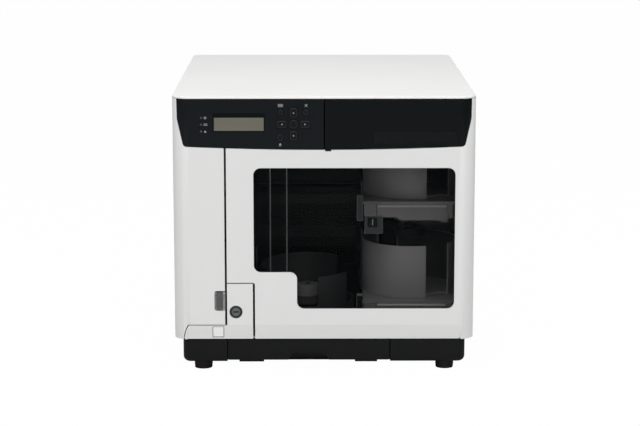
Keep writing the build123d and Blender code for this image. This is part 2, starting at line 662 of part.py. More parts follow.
with BuildPart() as lcd_module:
    with BuildSketch(facing(FASCIA_STEP + 0.9)):
        with Locations(PANEL_LCD):
            RectangleRounded(LCD_OPENING[0] - 2 * SLIP, LCD_OPENING[1] - 2 * SLIP, 1.2)
    extrude(amount=-3)
    with BuildSketch(facing(FASCIA_BACK + SLIP)):
        with Locations(PANEL_LCD):
            Rectangle(LCD_OPENING[0] + 5, LCD_OPENING[1] + 2)
    extrude(amount=-(BOARD_DEPTH - FASCIA_BACK - 2 * SLIP))
finish(lcd_module, "lcd_module")

with BuildPart() as status_leds:
    with BuildSketch(facing(FASCIA_STEP - 0.3)):
        with Locations(*LED_SPOTS):
            Circle(LED_RADIUS)
    extrude(amount=-(BOARD_DEPTH - SLIP - FASCIA_STEP + 0.3))
finish(status_leds, "status_leds")

with BuildPart() as control_board:
    with BuildSketch(facing(BOARD_DEPTH)):
        with Locations(BOARD_SPOT):
            Rectangle(*BOARD_SIZE)
            with GridLocations(BOARD_SIZE[0] - 8, BOARD_SIZE[1] - 8, 2, 2):
                Circle(1.6, mode=Mode.SUBTRACT)
    extrude(amount=-BOARD_SHEET)
    # plug header on its back, for the lead to the main board
    with BuildSketch(facing(BOARD_DEPTH + BOARD_SHEET)):
        with Locations((PAD_CENTRE[0] + 8, BOARD_SPOT[1] - 13)):
            Rectangle(HEADER[0], HEADER[1])
    extrude(amount=-HEADER[2])
finish(control_board, "control_board")


def button_body(spot, outline, flange):
    """Cap, flange and stem of one button, made from its two outlines."""
    stem_start = FASCIA_BACK + SLIP + FLANGE
    stem_end = BOARD_DEPTH - BUTTON_TRAVEL - SLIP
    with BuildSketch(facing(FASCIA_STEP - 0.8)) as cap:
        with Locations(spot):
            add(outline)
    extrude(cap.sketch, amount=-(FASCIA_WALL + 0.8 + SLIP))
    with BuildSketch(facing(FASCIA_BACK + SLIP)) as collar:
        with Locations(spot):
            add(flange)
    extrude(collar.sketch, amount=-FLANGE)
    with BuildSketch(facing(stem_start)) as stem:
        with Locations(spot):
            Circle(STEM_RADIUS)
    extrude(stem.sketch, amount=-(stem_end - stem_start))


for label, (spot_x, spot_z, radius) in ROUND_BUTTONS.items():
    with BuildSketch() as cap_outline:
        Circle(radius)
    with BuildSketch() as flange_outline:
        Circle(radius + FLANGE_LAP)
    with BuildPart() as button:
        button_body((spot_x, spot_z), cap_outline.sketch, flange_outline.sketch)
        chamfer(button.faces().sort_by(Axis.Y)[0].edges(), length=0.5)
    finish(button, label)

for label, (spot_x, spot_z, across, tall) in ARROW_BUTTONS.items():
    with BuildSketch() as cap_outline:
        RectangleRounded(across, tall, 1.0)
    with BuildSketch() as flange_outline:
        Rectangle(across + 2 * FLANGE_LAP - 0.4, tall + 2 * FLANGE_LAP - 0.4)
    with BuildPart() as button:
        button_body((spot_x, spot_z), cap_outline.sketch, flange_outline.sketch)
        chamfer(button.faces().sort_by(Axis.Y)[0].edges(), length=0.4)
    finish(button, label)

# ======================================================= doors and lower trim
WINDOW_LEFT = DOOR_EDGE + 33.8
WINDOW_RIGHT = SIDE - 25.5
WINDOW_TOP = 259.0
WINDOW_LOW = 80.0
STEP_X = WINDOW_LEFT + 54.0
STEP_Z = 126.8
WINDOW = (
    (WINDOW_LEFT, WINDOW_TOP),
    (WINDOW_RIGHT, WINDOW_TOP),
    (WINDOW_RIGHT, WINDOW_LOW),
    (STEP_X, WINDOW_LOW),
    (STEP_X, STEP_Z),
    (WINDOW_LEFT, STEP_Z),
)
WINDOW_CORNER = 9.0
PANE = 2.0
PANE_LAP = 4.0
PANE_SINK = 1.4           # pane's face behind the front plane
GUIDE_LINES = (WINDOW_LEFT + 21.0, WINDOW_LEFT + 42.0)
GUIDE_RIB = 1.6
DOOR_RIB = (2.0, 5.0)     # thickness and depth of the ribs inside the doors
LOW_BAND = CREASE + 3.0     # thick band behind the leaning face
LOW_THICK = LEAN + WALL + 0.5
KEY_LEFT = DOOR_EDGE
KEY_RIGHT = DOOR_EDGE + 32.4
KEY_TOP = 112.2
KEY_GAP = 1.4             # gap above the key block
TRIM_LEFT = -SIDE + 13.1
TRIM_GAP = 1.2
TRIM_CURVE_Z = 51.0
LOCK_SPOT = (DOOR_EDGE + 11.1, 76.1)
LOCK_RING = 8.0
RING_THICK = 2.0
LOCK_BODY = 6.5
PLUG_RADIUS = 5.2
PLUG_SINK = 0.4
KEYWAY = (7.6, 1.5, 10.0)
CAM_REACH = 11.0
CAM_WIDTH = 9.0
CAM_THICK = 2.2
LOCK_DEPTH = 18.0
POWER_SPOT = (COVER_EDGE - 8.7, 50.0)
POWER_SIZE = (13.4, 13.2)
POWER_GAP = 0.6
POWER_FLANGE = 1.5
POWER_PROUD = 0.4         # the key stands this far out of the trim
NOTCH_LEFT = COVER_EDGE - 13.2
NOTCH_LOW = 77.4
NOTCH_TOP = 103.2
NOTCH_CORNER = 3.0
LATCH_X = COVER_EDGE - 6.6
LATCH_WIDTH = 8.0
LATCH_LOW = 78.6
LATCH_FACE = 1.2          # lever's face behind the front plane
LATCH_GROOVES = 3
LATCH_PIN_Z = 99.0
LATCH_PIN_SET = 5.2
LATCH_PIN = 1.0


def hinge_bead(side):
    """Round bead down a door's hinged edge, bored for the pins at its ends."""
    with BuildSketch(Plane.XY.offset(CASE_BOTTOM)) as bead:
        with Locations((side * HINGE_X, HINGE_Y)):
            Circle(BEAD_RADIUS)
    extrude(bead.sketch, amount=CASE_TOP - CASE_BOTTOM)
    for level, reach in ((CASE_BOTTOM, PIN_REACH + 0.5), (CASE_TOP, -PIN_REACH - 0.5)):
        with BuildSketch(Plane.XY.offset(level)) as bore:
            with Locations((side * HINGE_X, HINGE_Y)):
                Circle(PIN_RADIUS + RUN)
        extrude(bore.sketch, amount=reach, mode=Mode.SUBTRACT)


def front_wall(left, right):
    """Casing wall between two x positions, as far back as the hinge line."""
    with BuildSketch(Plane.XY.offset(CASE_BOTTOM)) as wall:
        add(CASE_WALL_PLAN)
        with Locations(((left + right) / 2, (FRONT + HINGE_Y) / 2)):
            Rectangle(right - left, HINGE_Y - FRONT, mode=Mode.INTERSECT)
    extrude(wall.sketch, amount=CASE_TOP - CASE_BOTTOM)


def low_band(left, right):
    """Thicker strip behind the leaning part of the front."""
    with BuildSketch(Plane.XY.offset(CASE_BOTTOM)) as band:
        with Locations(((left + right) / 2, FRONT + WALL + (LOW_THICK - WALL) / 2)):
            Rectangle(right - left, LOW_THICK - WALL)
    extrude(band.sketch, amount=LOW_BAND - CASE_BOTTOM)


def cut_view(sketch, start=-2.0, depth=30.0):
    """Cut a front-view outline back through the front of the casing."""
    with BuildSketch(facing(start)) as view:
        add(sketch)
    extrude(view.sketch, amount=-depth, mode=Mode.SUBTRACT)


def pane_outline(grow):
    """Stepped window outline with rounded corners, grown all round."""
    with BuildSketch() as pane:
        with BuildLine():
            Polyline(*WINDOW, close=True)
        make_face()
        if grow:
            offset(amount=grow, kind=Kind.INTERSECTION, mode=Mode.REPLACE)
        fillet(pane.vertices(), radius=WINDOW_CORNER + grow)
    return pane.sketch


# room that the ink cover leaves for the trim, with a curved left end
notch_right = COVER_EDGE + 9
notch_high = CREASE - 0.9 + TRIM_GAP
notch_low = CASE_BOTTOM - 2
notch_start = (TRIM_LEFT + 5.6 - TRIM_GAP, notch_high)
notch_end = (TRIM_LEFT - TRIM_GAP - 0.2, notch_low)
with BuildSketch() as trim_notch:
    with BuildLine():
        Polyline((notch_right, notch_high), notch_start)
        ThreePointArc(notch_start, (TRIM_LEFT + 1.7 - TRIM_GAP, TRIM_CURVE_Z), notch_end)
        Polyline(notch_end, (notch_right, notch_low), (notch_right, notch_high))
    make_face()

with BuildPart() as ink_cover:
    front_wall(-SIDE - 1, COVER_EDGE)
    hinge_bead(-1)
    cut_view(FASCIA_OPENING)
    cut_view(trim_notch.sketch)
    # pocket behind the latch notch, open to the front
    notch_mid = (NOTCH_LEFT + COVER_EDGE) / 2
    notch_tall = NOTCH_TOP - NOTCH_LOW
    notch_z = (NOTCH_TOP + NOTCH_LOW) / 2
    notch_wide = COVER_EDGE - NOTCH_LEFT
    with BuildSketch(facing(WALL)):
        with Locations((notch_mid - 1, notch_z - 2)):
            Rectangle(notch_wide + 2, notch_tall + 9)
    extrude(amount=-8)
    with BuildSketch(facing(-1)) as notch_view:
        with Locations((notch_mid + 1, notch_z)):
            Rectangle(notch_wide + 2, notch_tall)
        fillet(notch_view.vertices().group_by(Axis.X)[0], radius=NOTCH_CORNER)
    extrude(amount=-9.5, mode=Mode.SUBTRACT)
    with BuildSketch(Plane.YZ.offset(NOTCH_LEFT - 1.5)):
        with Locations((FRONT + LATCH_PIN_SET, LATCH_PIN_Z)):
            Circle(LATCH_PIN)
    extrude(amount=notch_wide + 1.5)
    # stiffening ribs inside the cover
    with BuildSketch(facing(WALL)):
        with Locations(((COVER_EDGE - SIDE) / 2 + 1.5, CREASE + 130.5)):
            with GridLocations(0, 60, 1, 3):
                Rectangle(44, DOOR_RIB[0])
    extrude(amount=-DOOR_RIB[1])
finish(ink_cover, "ink_cover")

with BuildPart() as cover_latch:
    with BuildSketch(Plane.YZ.offset(LATCH_X - LATCH_WIDTH / 2)):
        with BuildLine():
            Polyline(
                (FRONT + LATCH_PIN_SET - 2.6, LATCH_PIN_Z + 2.4),
                (FRONT + LATCH_FACE, LATCH_PIN_Z - 3),
                (FRONT + LATCH_FACE, LATCH_LOW),
                (FRONT + LATCH_FACE + 3, LATCH_LOW),
                (FRONT + LATCH_FACE + 3, LATCH_PIN_Z - 5),
                (FRONT + LATCH_PIN_SET + 1.8, LATCH_PIN_Z - 2.4),
                (FRONT + LATCH_PIN_SET + 1.8, LATCH_PIN_Z + 2.4),
                close=True,
            )
        make_face()
        with Locations((FRONT + LATCH_PIN_SET, LATCH_PIN_Z)):
            Circle(LATCH_PIN + RUN, mode=Mode.SUBTRACT)
    extrude(amount=LATCH_WIDTH)
    # upright grooves for the finger
    with BuildSketch(facing(LATCH_FACE - 1)):
        with Locations((LATCH_X, (LATCH_LOW + LATCH_PIN_Z) / 2 - 1)):
            with GridLocations(LATCH_WIDTH / LATCH_GROOVES, 0, LATCH_GROOVES, 1):
                Rectangle(1.0, LATCH_PIN_Z - LATCH_LOW - 6)
    extrude(amount=-1.5, mode=Mode.SUBTRACT)
finish(cover_latch, "cover_latch")

key_left = DOOR_EDGE - 6
key_right = KEY_RIGHT + SEAM
key_low = CASE_BOTTOM - 2
key_high = KEY_TOP + KEY_GAP
with BuildSketch() as key_notch:
    with Locations(((key_left + key_right) / 2, (key_low + key_high) / 2)):
        Rectangle(key_right - key_left, key_high - key_low)
    fillet(key_notch.vertices().group_by(Axis.Y)[-1].sort_by(Axis.X)[-1], radius=3)

with BuildSketch() as tongue_notch:
    with Locations((TONGUE_X, FASCIA_LOW - 1)):
        Rectangle(TONGUE_WIDTH + 1.6, 3.2)

with BuildPart() as door_shell:
    front_wall(DOOR_EDGE, SIDE + 1)
    hinge_bead(1)
    low_band(KEY_RIGHT + SEAM, CREASE_HALF - 2)
    cut_view(FASCIA_OPENING)
    cut_view(key_notch.sketch)
    cut_view(tongue_notch.sketch)
    lean_back()
    cut_view(pane_outline(0), depth=WALL + 4)
    # ribs beside and above the window, inside the door
    with BuildSketch(facing(WALL)):
        with Locations((DOOR_EDGE + 8, (WINDOW_TOP + STEP_Z) / 2)):
            Rectangle(DOOR_RIB[0], WINDOW_TOP - STEP_Z)
        with Locations(((WINDOW_LEFT + WINDOW_RIGHT) / 2, WINDOW_TOP + 13)):
            Rectangle(WINDOW_RIGHT - WINDOW_LEFT, DOOR_RIB[0])
    extrude(amount=-DOOR_RIB[1])
finish(door_shell, "door_shell")

with BuildPart() as door_window:
    with BuildSketch(facing(WALL + 0.1)):
        add(pane_outline(PANE_LAP))
    extrude(amount=-PANE)
    with BuildSketch(facing(PANE_SINK)):
        add(pane_outline(-0.4))
    extrude(amount=-(WALL + 0.1 - PANE_SINK))
    with BuildSketch(facing(WALL + 0.1 + PANE)):
        for line_x in GUIDE_LINES:
            with Locations((line_x, (WINDOW_TOP + STEP_Z) / 2)):
                Rectangle(GUIDE_RIB, WINDOW_TOP - STEP_Z - 4)
    extrude(amount=-GUIDE_RIB)
finish(door_window, "door_window")

with BuildPart() as front_trim:
    with BuildSketch(Plane.XY.offset(CASE_BOTTOM)):
        add(CASE_WALL_PLAN)
        with Locations(((TRIM_LEFT + KEY_RIGHT) / 2 - 4, FRONT + 8)):
            Rectangle(KEY_RIGHT - TRIM_LEFT + 8, 16, mode=Mode.INTERSECT)
    extrude(amount=KEY_TOP - CASE_BOTTOM)
    low_band(TRIM_LEFT + 3, KEY_RIGHT)
    with BuildSketch(facing(-1)):
        with BuildLine():
            Polyline(
                (TRIM_LEFT, CASE_BOTTOM),
                (KEY_RIGHT, CASE_BOTTOM),
                (KEY_RIGHT, KEY_TOP),
                (KEY_LEFT, KEY_TOP),
                (KEY_LEFT, CREASE - 0.9),
                (TRIM_LEFT + 5.2, CREASE - 0.9),
            )
            ThreePointArc(
                (TRIM_LEFT + 5.2, CREASE - 0.9),
                (TRIM_LEFT + 1.6, TRIM_CURVE_Z),
                (TRIM_LEFT, CASE_BOTTOM),
            )
        make_face()
    extrude(amount=-20, mode=Mode.INTERSECT)
    lean_back()
    with BuildSketch(facing(-1)):
        with Locations(POWER_SPOT):
            RectangleRounded(POWER_SIZE[0] + 2 * POWER_GAP, POWER_SIZE[1] + 2 * POWER_GAP, 0.8)
        with Locations(LOCK_SPOT):
            Circle(LOCK_BODY + 0.15)
    extrude(amount=-20, mode=Mode.SUBTRACT)
    with BuildSketch(facing(-1)):
        with Locations(LOCK_SPOT):
            Circle(LOCK_RING + 0.25)
    extrude(amount=-(RING_THICK + 1.1), mode=Mode.SUBTRACT)
    # foot that stands on the deck behind the key block
    with BuildSketch(Plane.XY.offset(DECK_TOP + SLIP)):
        with Locations((KEY_RIGHT - 7, FRONT + 12)):
            Rectangle(14, 18)
    extrude(amount=4)
finish(front_trim, "front_trim")

with BuildPart() as lock_barrel:
    with BuildSketch(facing(0)):
        with Locations(LOCK_SPOT):
            Circle(LOCK_RING)
            Circle(PLUG_RADIUS + RUN, mode=Mode.SUBTRACT)
    extrude(amount=-RING_THICK)
    chamfer(lock_barrel.faces().sort_by(Axis.Y)[0].outer_wire().edges(), length=0.6)
    with BuildSketch(facing(RING_THICK)):
        with Locations(LOCK_SPOT):
            Circle(LOCK_BODY)
            Circle(PLUG_RADIUS + RUN, mode=Mode.SUBTRACT)
    extrude(amount=-(LOCK_DEPTH - RING_THICK))
finish(lock_barrel, "lock_barrel")

with BuildPart() as lock_plug:
    with BuildSketch(facing(PLUG_SINK)):
        with Locations(LOCK_SPOT):
            Circle(PLUG_RADIUS)
    extrude(amount=-(LOCK_DEPTH + CAM_THICK - PLUG_SINK + 0.2))
    with BuildSketch(facing(PLUG_SINK)):
        with Locations(LOCK_SPOT):
            Rectangle(KEYWAY[0], KEYWAY[1])
    extrude(amount=-KEYWAY[2], mode=Mode.SUBTRACT)
    # cam that bolts behind the door edge
    with BuildSketch(facing(LOCK_DEPTH + 2 * SLIP)):
        with Locations(LOCK_SPOT):
            SlotCenterToCenter(CAM_REACH, CAM_WIDTH, rotation=90)
    extrude(amount=-CAM_THICK)
finish(lock_plug, "lock_plug")

with BuildPart() as power_button:
    power_x = POWER_SPOT[0] - POWER_SIZE[0] / 2
    low_z = POWER_SPOT[1] - POWER_SIZE[1] / 2
    high_z = POWER_SPOT[1] + POWER_SIZE[1] / 2
    slope = LEAN / (CREASE - CASE_BOTTOM)
    with BuildSketch(Plane.YZ.offset(power_x)):
        with BuildLine():
            Polyline(
                (FRONT + slope * (CREASE - high_z) - POWER_PROUD, high_z),
                (FRONT + slope * (CREASE - low_z) - POWER_PROUD, low_z),
                (FRONT + LOW_THICK + POWER_FLANGE, low_z),
                (FRONT + LOW_THICK + POWER_FLANGE, high_z),
                close=True,
            )
        make_face()
    extrude(amount=POWER_SIZE[0])
    chamfer(power_button.faces().sort_by(Axis.Y)[0].edges(), length=0.7)
    with BuildSketch(facing(LOW_THICK + 0.5)):
        with Locations(POWER_SPOT):
            Rectangle(POWER_SIZE[0] + 3, POWER_SIZE[1] + 2 * POWER_GAP)
    extrude(amount=-POWER_FLANGE)
finish(power_button, "power_button")

# hinge pins: ears on the base for the lower ones, discs for the upper ones
EAR_THICK = 1.7
EAR_DEPTH = 16.0
with BuildPart() as hinge_pins:
    for side in (-1, 1):
        ear_inner = BASE_HALF
        ear_outer = HINGE_X + PIN_RADIUS + 1.0
        with BuildSketch(Plane.XY.offset(CASE_BOTTOM - SLIP - EAR_THICK)):
            with Locations((side * (ear_inner + ear_outer) / 2, HINGE_Y + 4)):
                Rectangle(ear_outer - ear_inner, EAR_DEPTH)
        extrude(amount=EAR_THICK)
        with BuildSketch(Plane.XY.offset(CASE_BOTTOM - SLIP)):
            with Locations((side * HINGE_X, HINGE_Y)):
                Circle(PIN_RADIUS)
        extrude(amount=PIN_REACH)
        with BuildSketch(Plane.XY.offset(CASE_TOP + SLIP)):
            with Locations((side * HINGE_X, HINGE_Y)):
                Circle(PIN_RADIUS)
        extrude(amount=-PIN_REACH)
finish(hinge_pins, "hinge_pins")

# ===================================================== shelves and stackers
SHELF_PLATE = 3.0
SHELF_SET = 50.0          # shelf fronts behind the front plane
SHELF_FRONT = FRONT + SHELF_SET
SHELF_BACK = STATION_A[1] + 70.0
SHELF_LEFT = STATION_A[0] - CUP_OUTER
SHELF_RIGHT = LINER_RIGHT - LINER_WALL - SLIP
SHELF_HOLE = 26.0
APRON_THICK = 3.0
APRON_LEFT = SHELF_LEFT + 16.0
APRON_RIGHT = SHELF_LEFT + 106.4
APRON_LOW = SHELF_TOP - 24.2
APRON_STEP = 4.0
BLOCK_CORNER = 0.8
GRIP_BLOCK = ((SHELF_LEFT, SHELF_TOP - 17.6), (SHELF_LEFT + 15.4, SHELF_TOP + 0.9))
LABEL_BLOCK = ((SHELF_LEFT + 1.0, SHELF_TOP - 40.8), (SHELF_LEFT + 24.0, SHELF_TOP - 18.0))
GUIDE_STRIP = ((SHELF_LEFT - 9.0, SHELF_TOP - 24.6), (SHELF_LEFT - 1.4, SHELF_TOP + 7.4))
RIGHT_BLOCK = ((SHELF_LEFT + 107.0, SHELF_TOP - 20.6), (SHELF_LEFT + 112.5, SHELF_TOP + 0.4))
GRIP_RIBS = 6
GRIP_PITCH = 2.7
WEB_LEFT = STATION_A[0] - 17.5
WEB_DROP = 66.0
SIDE_FLANGE = (24.0, 2.0)
LEG = (60.0, 3.0)


def front_block(corners, drop, depth, thickness):
    """Upright block in front view, lowered by a drop, at a depth."""
    (x0, z0), (x1, z1) = corners
    with BuildSketch(facing(depth)) as block:
        with Locations(((x0 + x1) / 2, (z0 + z1) / 2 - drop)):
            RectangleRounded(x1 - x0, z1 - z0, BLOCK_CORNER)
    extrude(block.sketch, amount=-thickness)


def shelf_body(drop):
    """Shelf plate, apron, grip, label block and back web of one level."""
    level = SHELF_TOP - drop
    shelf_mid = ((SHELF_LEFT + SHELF_RIGHT) / 2, (SHELF_FRONT + SHELF_BACK) / 2)
    with BuildSketch(Plane.XY.offset(level - SHELF_PLATE)) as plate:
        with Locations(shelf_mid):
            Rectangle(SHELF_RIGHT - SHELF_LEFT, SHELF_BACK - SHELF_FRONT)
        with Locations(STATION_A):
            Circle(SHELF_HOLE, mode=Mode.SUBTRACT)
        # clear of the mast, in two steps
        with Locations((SHELF_LEFT, SHELF_BACK)):
            Rectangle(84, 84, mode=Mode.SUBTRACT)
            Rectangle(60, 130, mode=Mode.SUBTRACT)
    extrude(plate.sketch, amount=SHELF_PLATE)
    # upright apron with a stepped lower edge
    apron_top = level - SHELF_PLATE + 0.4
    apron_low = APRON_LOW - drop
    with BuildSketch(facing(SHELF_SET)) as apron:
        with BuildLine():
            Polyline(
                (APRON_LEFT, apron_top),
                (APRON_LEFT, apron_low + APRON_STEP),
                (APRON_LEFT + 26, apron_low + APRON_STEP),
                (APRON_LEFT + 30, apron_low),
                (APRON_RIGHT - 8, apron_low),
                (APRON_RIGHT - 8, apron_low - 2.4),
                (APRON_RIGHT, apron_low - 2.4),
                (APRON_RIGHT, apron_top),
                close=True,
            )
        make_face()
    extrude(apron.sketch, amount=-APRON_THICK)
    front_block(GRIP_BLOCK, drop, SHELF_SET - 4, 7)
    (block_left, block_low), block_end = LABEL_BLOCK
    label_low = max(block_low, LINER_FLOOR + SLIP + drop)
    front_block(((block_left, label_low), block_end), drop, SHELF_SET - 2, 4)
    front_block(GUIDE_STRIP, drop, SHELF_SET - 1, 12)
    front_block(RIGHT_BLOCK, drop, SHELF_SET - 2, 6)
    # ribs moulded on the grip
    (grip_left, grip_low), (grip_right, grip_high) = GRIP_BLOCK
    with BuildSketch(facing(SHELF_SET - 5.2)) as ribs:
        with Locations(((grip_left + grip_right) / 2, (grip_low + grip_high) / 2 - drop)):
            with GridLocations(0, GRIP_PITCH, 1, GRIP_RIBS):
                Rectangle(grip_right - grip_left - 2, GRIP_PITCH / 2)
    extrude(ribs.sketch, amount=-1.6)
    # arm that joins the guide strip to the plate
    with BuildSketch(Plane.XY.offset(level - SHELF_PLATE)) as joint:
        with Locations((SHELF_LEFT - 2, SHELF_FRONT + 5)):
            Rectangle(14, 10)
    extrude(joint.sketch, amount=SHELF_PLATE)
    # web under the plate at the back and a flange on the side lining
    web_low = level - WEB_DROP if drop == 0 else LINER_FLOOR + SLIP
    with BuildSketch(Plane.XZ.offset(-SHELF_BACK)) as web:
        with Locations(((WEB_LEFT + SHELF_RIGHT) / 2, (web_low + level) / 2)):
            Rectangle(SHELF_RIGHT - WEB_LEFT, level - web_low)
    extrude(web.sketch, amount=SHELF_PLATE)
    with BuildSketch(Plane.YZ.offset(SHELF_RIGHT)) as flange_face:
        with Locations(((SHELF_FRONT + SHELF_BACK) / 2, level - SIDE_FLANGE[0] / 2)):
            Rectangle(SHELF_BACK - SHELF_FRONT, SIDE_FLANGE[0])
    extrude(flange_face.sketch, amount=-SIDE_FLANGE[1])


with BuildPart() as upper_shelf:
    shelf_body(0)
finish(upper_shelf, "upper_shelf")

with BuildPart() as lower_shelf:
    shelf_body(SHELF_PITCH)
    # the lower level stands on the bay floor by a front leg
    with BuildSketch(Plane.XY.offset(LINER_FLOOR + SLIP)):
        with Locations((STATION_A[0] - 3.5, SHELF_FRONT + LEG[1] / 2)):
            Rectangle(*LEG)
    extrude(amount=APRON_LOW - SHELF_PITCH - LINER_FLOOR - SLIP + 1)
finish(lower_shelf, "lower_shelf")

SECTOR_STEPS = 4
HUB_WALL = 9.0
NOTCH_REACH = 8.0         # how far a finger notch cuts into a cup's floor


def sector(centre, reach, start, stop):
    """Pie-shaped sketch face used to open a cup's wall between two angles."""
    turns = [start + (stop - start) * n / SECTOR_STEPS for n in range(SECTOR_STEPS + 1)]
    points = [(reach * cos(radians(a)), reach * sin(radians(a))) for a in turns]
    with BuildSketch() as wedge:
        with BuildLine():
            Polyline((0, 0), *points, close=True)
        make_face()
    with BuildSketch() as placed:
        with Locations(centre):
            add(wedge.sketch)
    return placed.sketch


def stacker_cup(centre, floor, height, hub_radius, hub_height, openings, low_rim):
    """Disc cup with a hub, cut open between pairs of angles."""
    with BuildSketch(Plane.XY.offset(floor)) as round_body:
        with Locations(centre):
            Circle(CUP_OUTER)
    extrude(round_body.sketch, amount=height)
    with BuildSketch(Plane.XY.offset(floor + CUP_FLOOR)) as hollow:
        with Locations(centre):
            Circle(CUP_INNER)
            Circle(hub_radius, mode=Mode.SUBTRACT)
    extrude(hollow.sketch, amount=height, mode=Mode.SUBTRACT)
    with BuildSketch(Plane.XY.offset(floor + hub_height)) as hub_top:
        with Locations(centre):
            Circle(hub_radius + 1)
    extrude(hub_top.sketch, amount=height, mode=Mode.SUBTRACT)
    with BuildSketch(Plane.XY.offset(floor - 1)) as bore:
        with Locations(centre):
            Circle(hub_radius - HUB_WALL)
    extrude(bore.sketch, amount=hub_height + 2, mode=Mode.SUBTRACT)
    for start, stop in openings:
        cut = sector(centre, CUP_OUTER * 1.3, start, stop)
        with BuildSketch(Plane.XY.offset(floor + CUP_FLOOR)) as gap:
            add(cut)
            with Locations(centre):
                Circle(hub_radius + 0.5, mode=Mode.SUBTRACT)
        extrude(gap.sketch, amount=height, mode=Mode.SUBTRACT)
        with BuildSketch(Plane.XY.offset(floor - 1)) as notch:
            add(cut)
            with Locations(centre):
                Circle(CUP_INNER - NOTCH_REACH, mode=Mode.SUBTRACT)
        extrude(notch.sketch, amount=height, mode=Mode.SUBTRACT)
    if low_rim:
        # the front of the rim is lower than the back
        with BuildSketch(Plane.YZ.offset(centre[0] - CUP_OUTER - 2)) as slope_cut:
            y0 = centre[1] - CUP_OUTER - 2
            y1 = centre[1] + CUP_OUTER + 2
            with BuildLine():
                Polyline(
                    (y0, floor + height + 2),
                    (y0, floor + height - low_rim),
                    (y1, floor + height),
                    (y1, floor + height + 2),
                    close=True,
                )
            make_face()
        extrude(slope_cut.sketch, amount=2 * CUP_OUTER + 4, mode=Mode.SUBTRACT)


FINGER_A = (-73.4, -41.0)  # finger opening of a main stacker, in degrees
REAR_A = (104.0, 134.0)
HUB_A = (19.0, 15.0)      # radius and height of its hub
STACKER_SET = 0.4
for label, drop in (("stacker_1", 0.0), ("stacker_2", SHELF_PITCH)):
    with BuildPart() as stacker:
        floor = SHELF_TOP + STACKER_SET - drop
        stacker_cup(STATION_A, floor, CUP_HEIGHT, *HUB_A, (FINGER_A, REAR_A), 0)
    finish(stacker, label)

STACKER_3_FLOOR = 59.0
STACKER_3_TOP = 106.6
SKIRT_LAP = 0.6
HUB_B = (14.0, 17.0)
OPENINGS_B = ((-112.0, -77.0), (-34.0, 50.0))
RIM_FALL = 8.6            # the front of its rim is lower than the back
with BuildPart() as stacker_3:
    stacker_cup(
        STATION_B,
        STACKER_3_FLOOR,
        STACKER_3_TOP - STACKER_3_FLOOR,
        *HUB_B,
        OPENINGS_B,
        RIM_FALL,
    )
    # skirt that stands the cup on the bay floor, round the drop hole
    with BuildSketch(Plane.XY.offset(LINER_FLOOR + SLIP)):
        with Locations(STATION_B):
            Circle(CUP_OUTER)
            Circle(DROP_HOLE - SKIRT_LAP, mode=Mode.SUBTRACT)
    extrude(amount=STACKER_3_FLOOR - LINER_FLOOR - SLIP)
finish(stacker_3, "stacker_3")

# ============================================================== disc drives
BEZEL = 4.0
SLOT_CLEAR = 0.6          # round a tray in its slot
TRAY_LENGTH = TRAY_TRAVEL + 12
TRAY_SEAT = DISC / 2 + 0.8
SEAT_LEVEL = 2.2          # seat's floor above the tray's underside
TRAY_SLOT = (56.0, 36.0)
EJECT_KEY = (12.0, 4.0, 1.2)


def tray_plate(lip_set, lip_low, lip_size, plate_low, width):
    """Tray with its front lip and the round seat for a disc."""
    with BuildSketch(facing(lip_set)) as lip:
        with Locations((DRIVE_X, lip_low + lip_size[1] / 2)):
            RectangleRounded(*lip_size, 1.2)
    extrude(lip.sketch, amount=-LIP_THICK)
    plate_front = FRONT + lip_set + LIP_THICK - 2
    with BuildSketch(Plane.XY.offset(plate_low)) as plate:
        with Locations((DRIVE_X, plate_front + TRAY_LENGTH / 2 + 1)):
            Rectangle(width, TRAY_LENGTH + 2)
    extrude(plate.sketch, amount=TRAY_PLATE)
    with BuildSketch(Plane.XY.offset(plate_low + SEAT_LEVEL)) as seat:
        with Locations((DRIVE_X, STATION_B[1] + TRAY_TRAVEL)):
            Circle(TRAY_SEAT)
    extrude(seat.sketch, amount=TRAY_PLATE, mode=Mode.SUBTRACT)


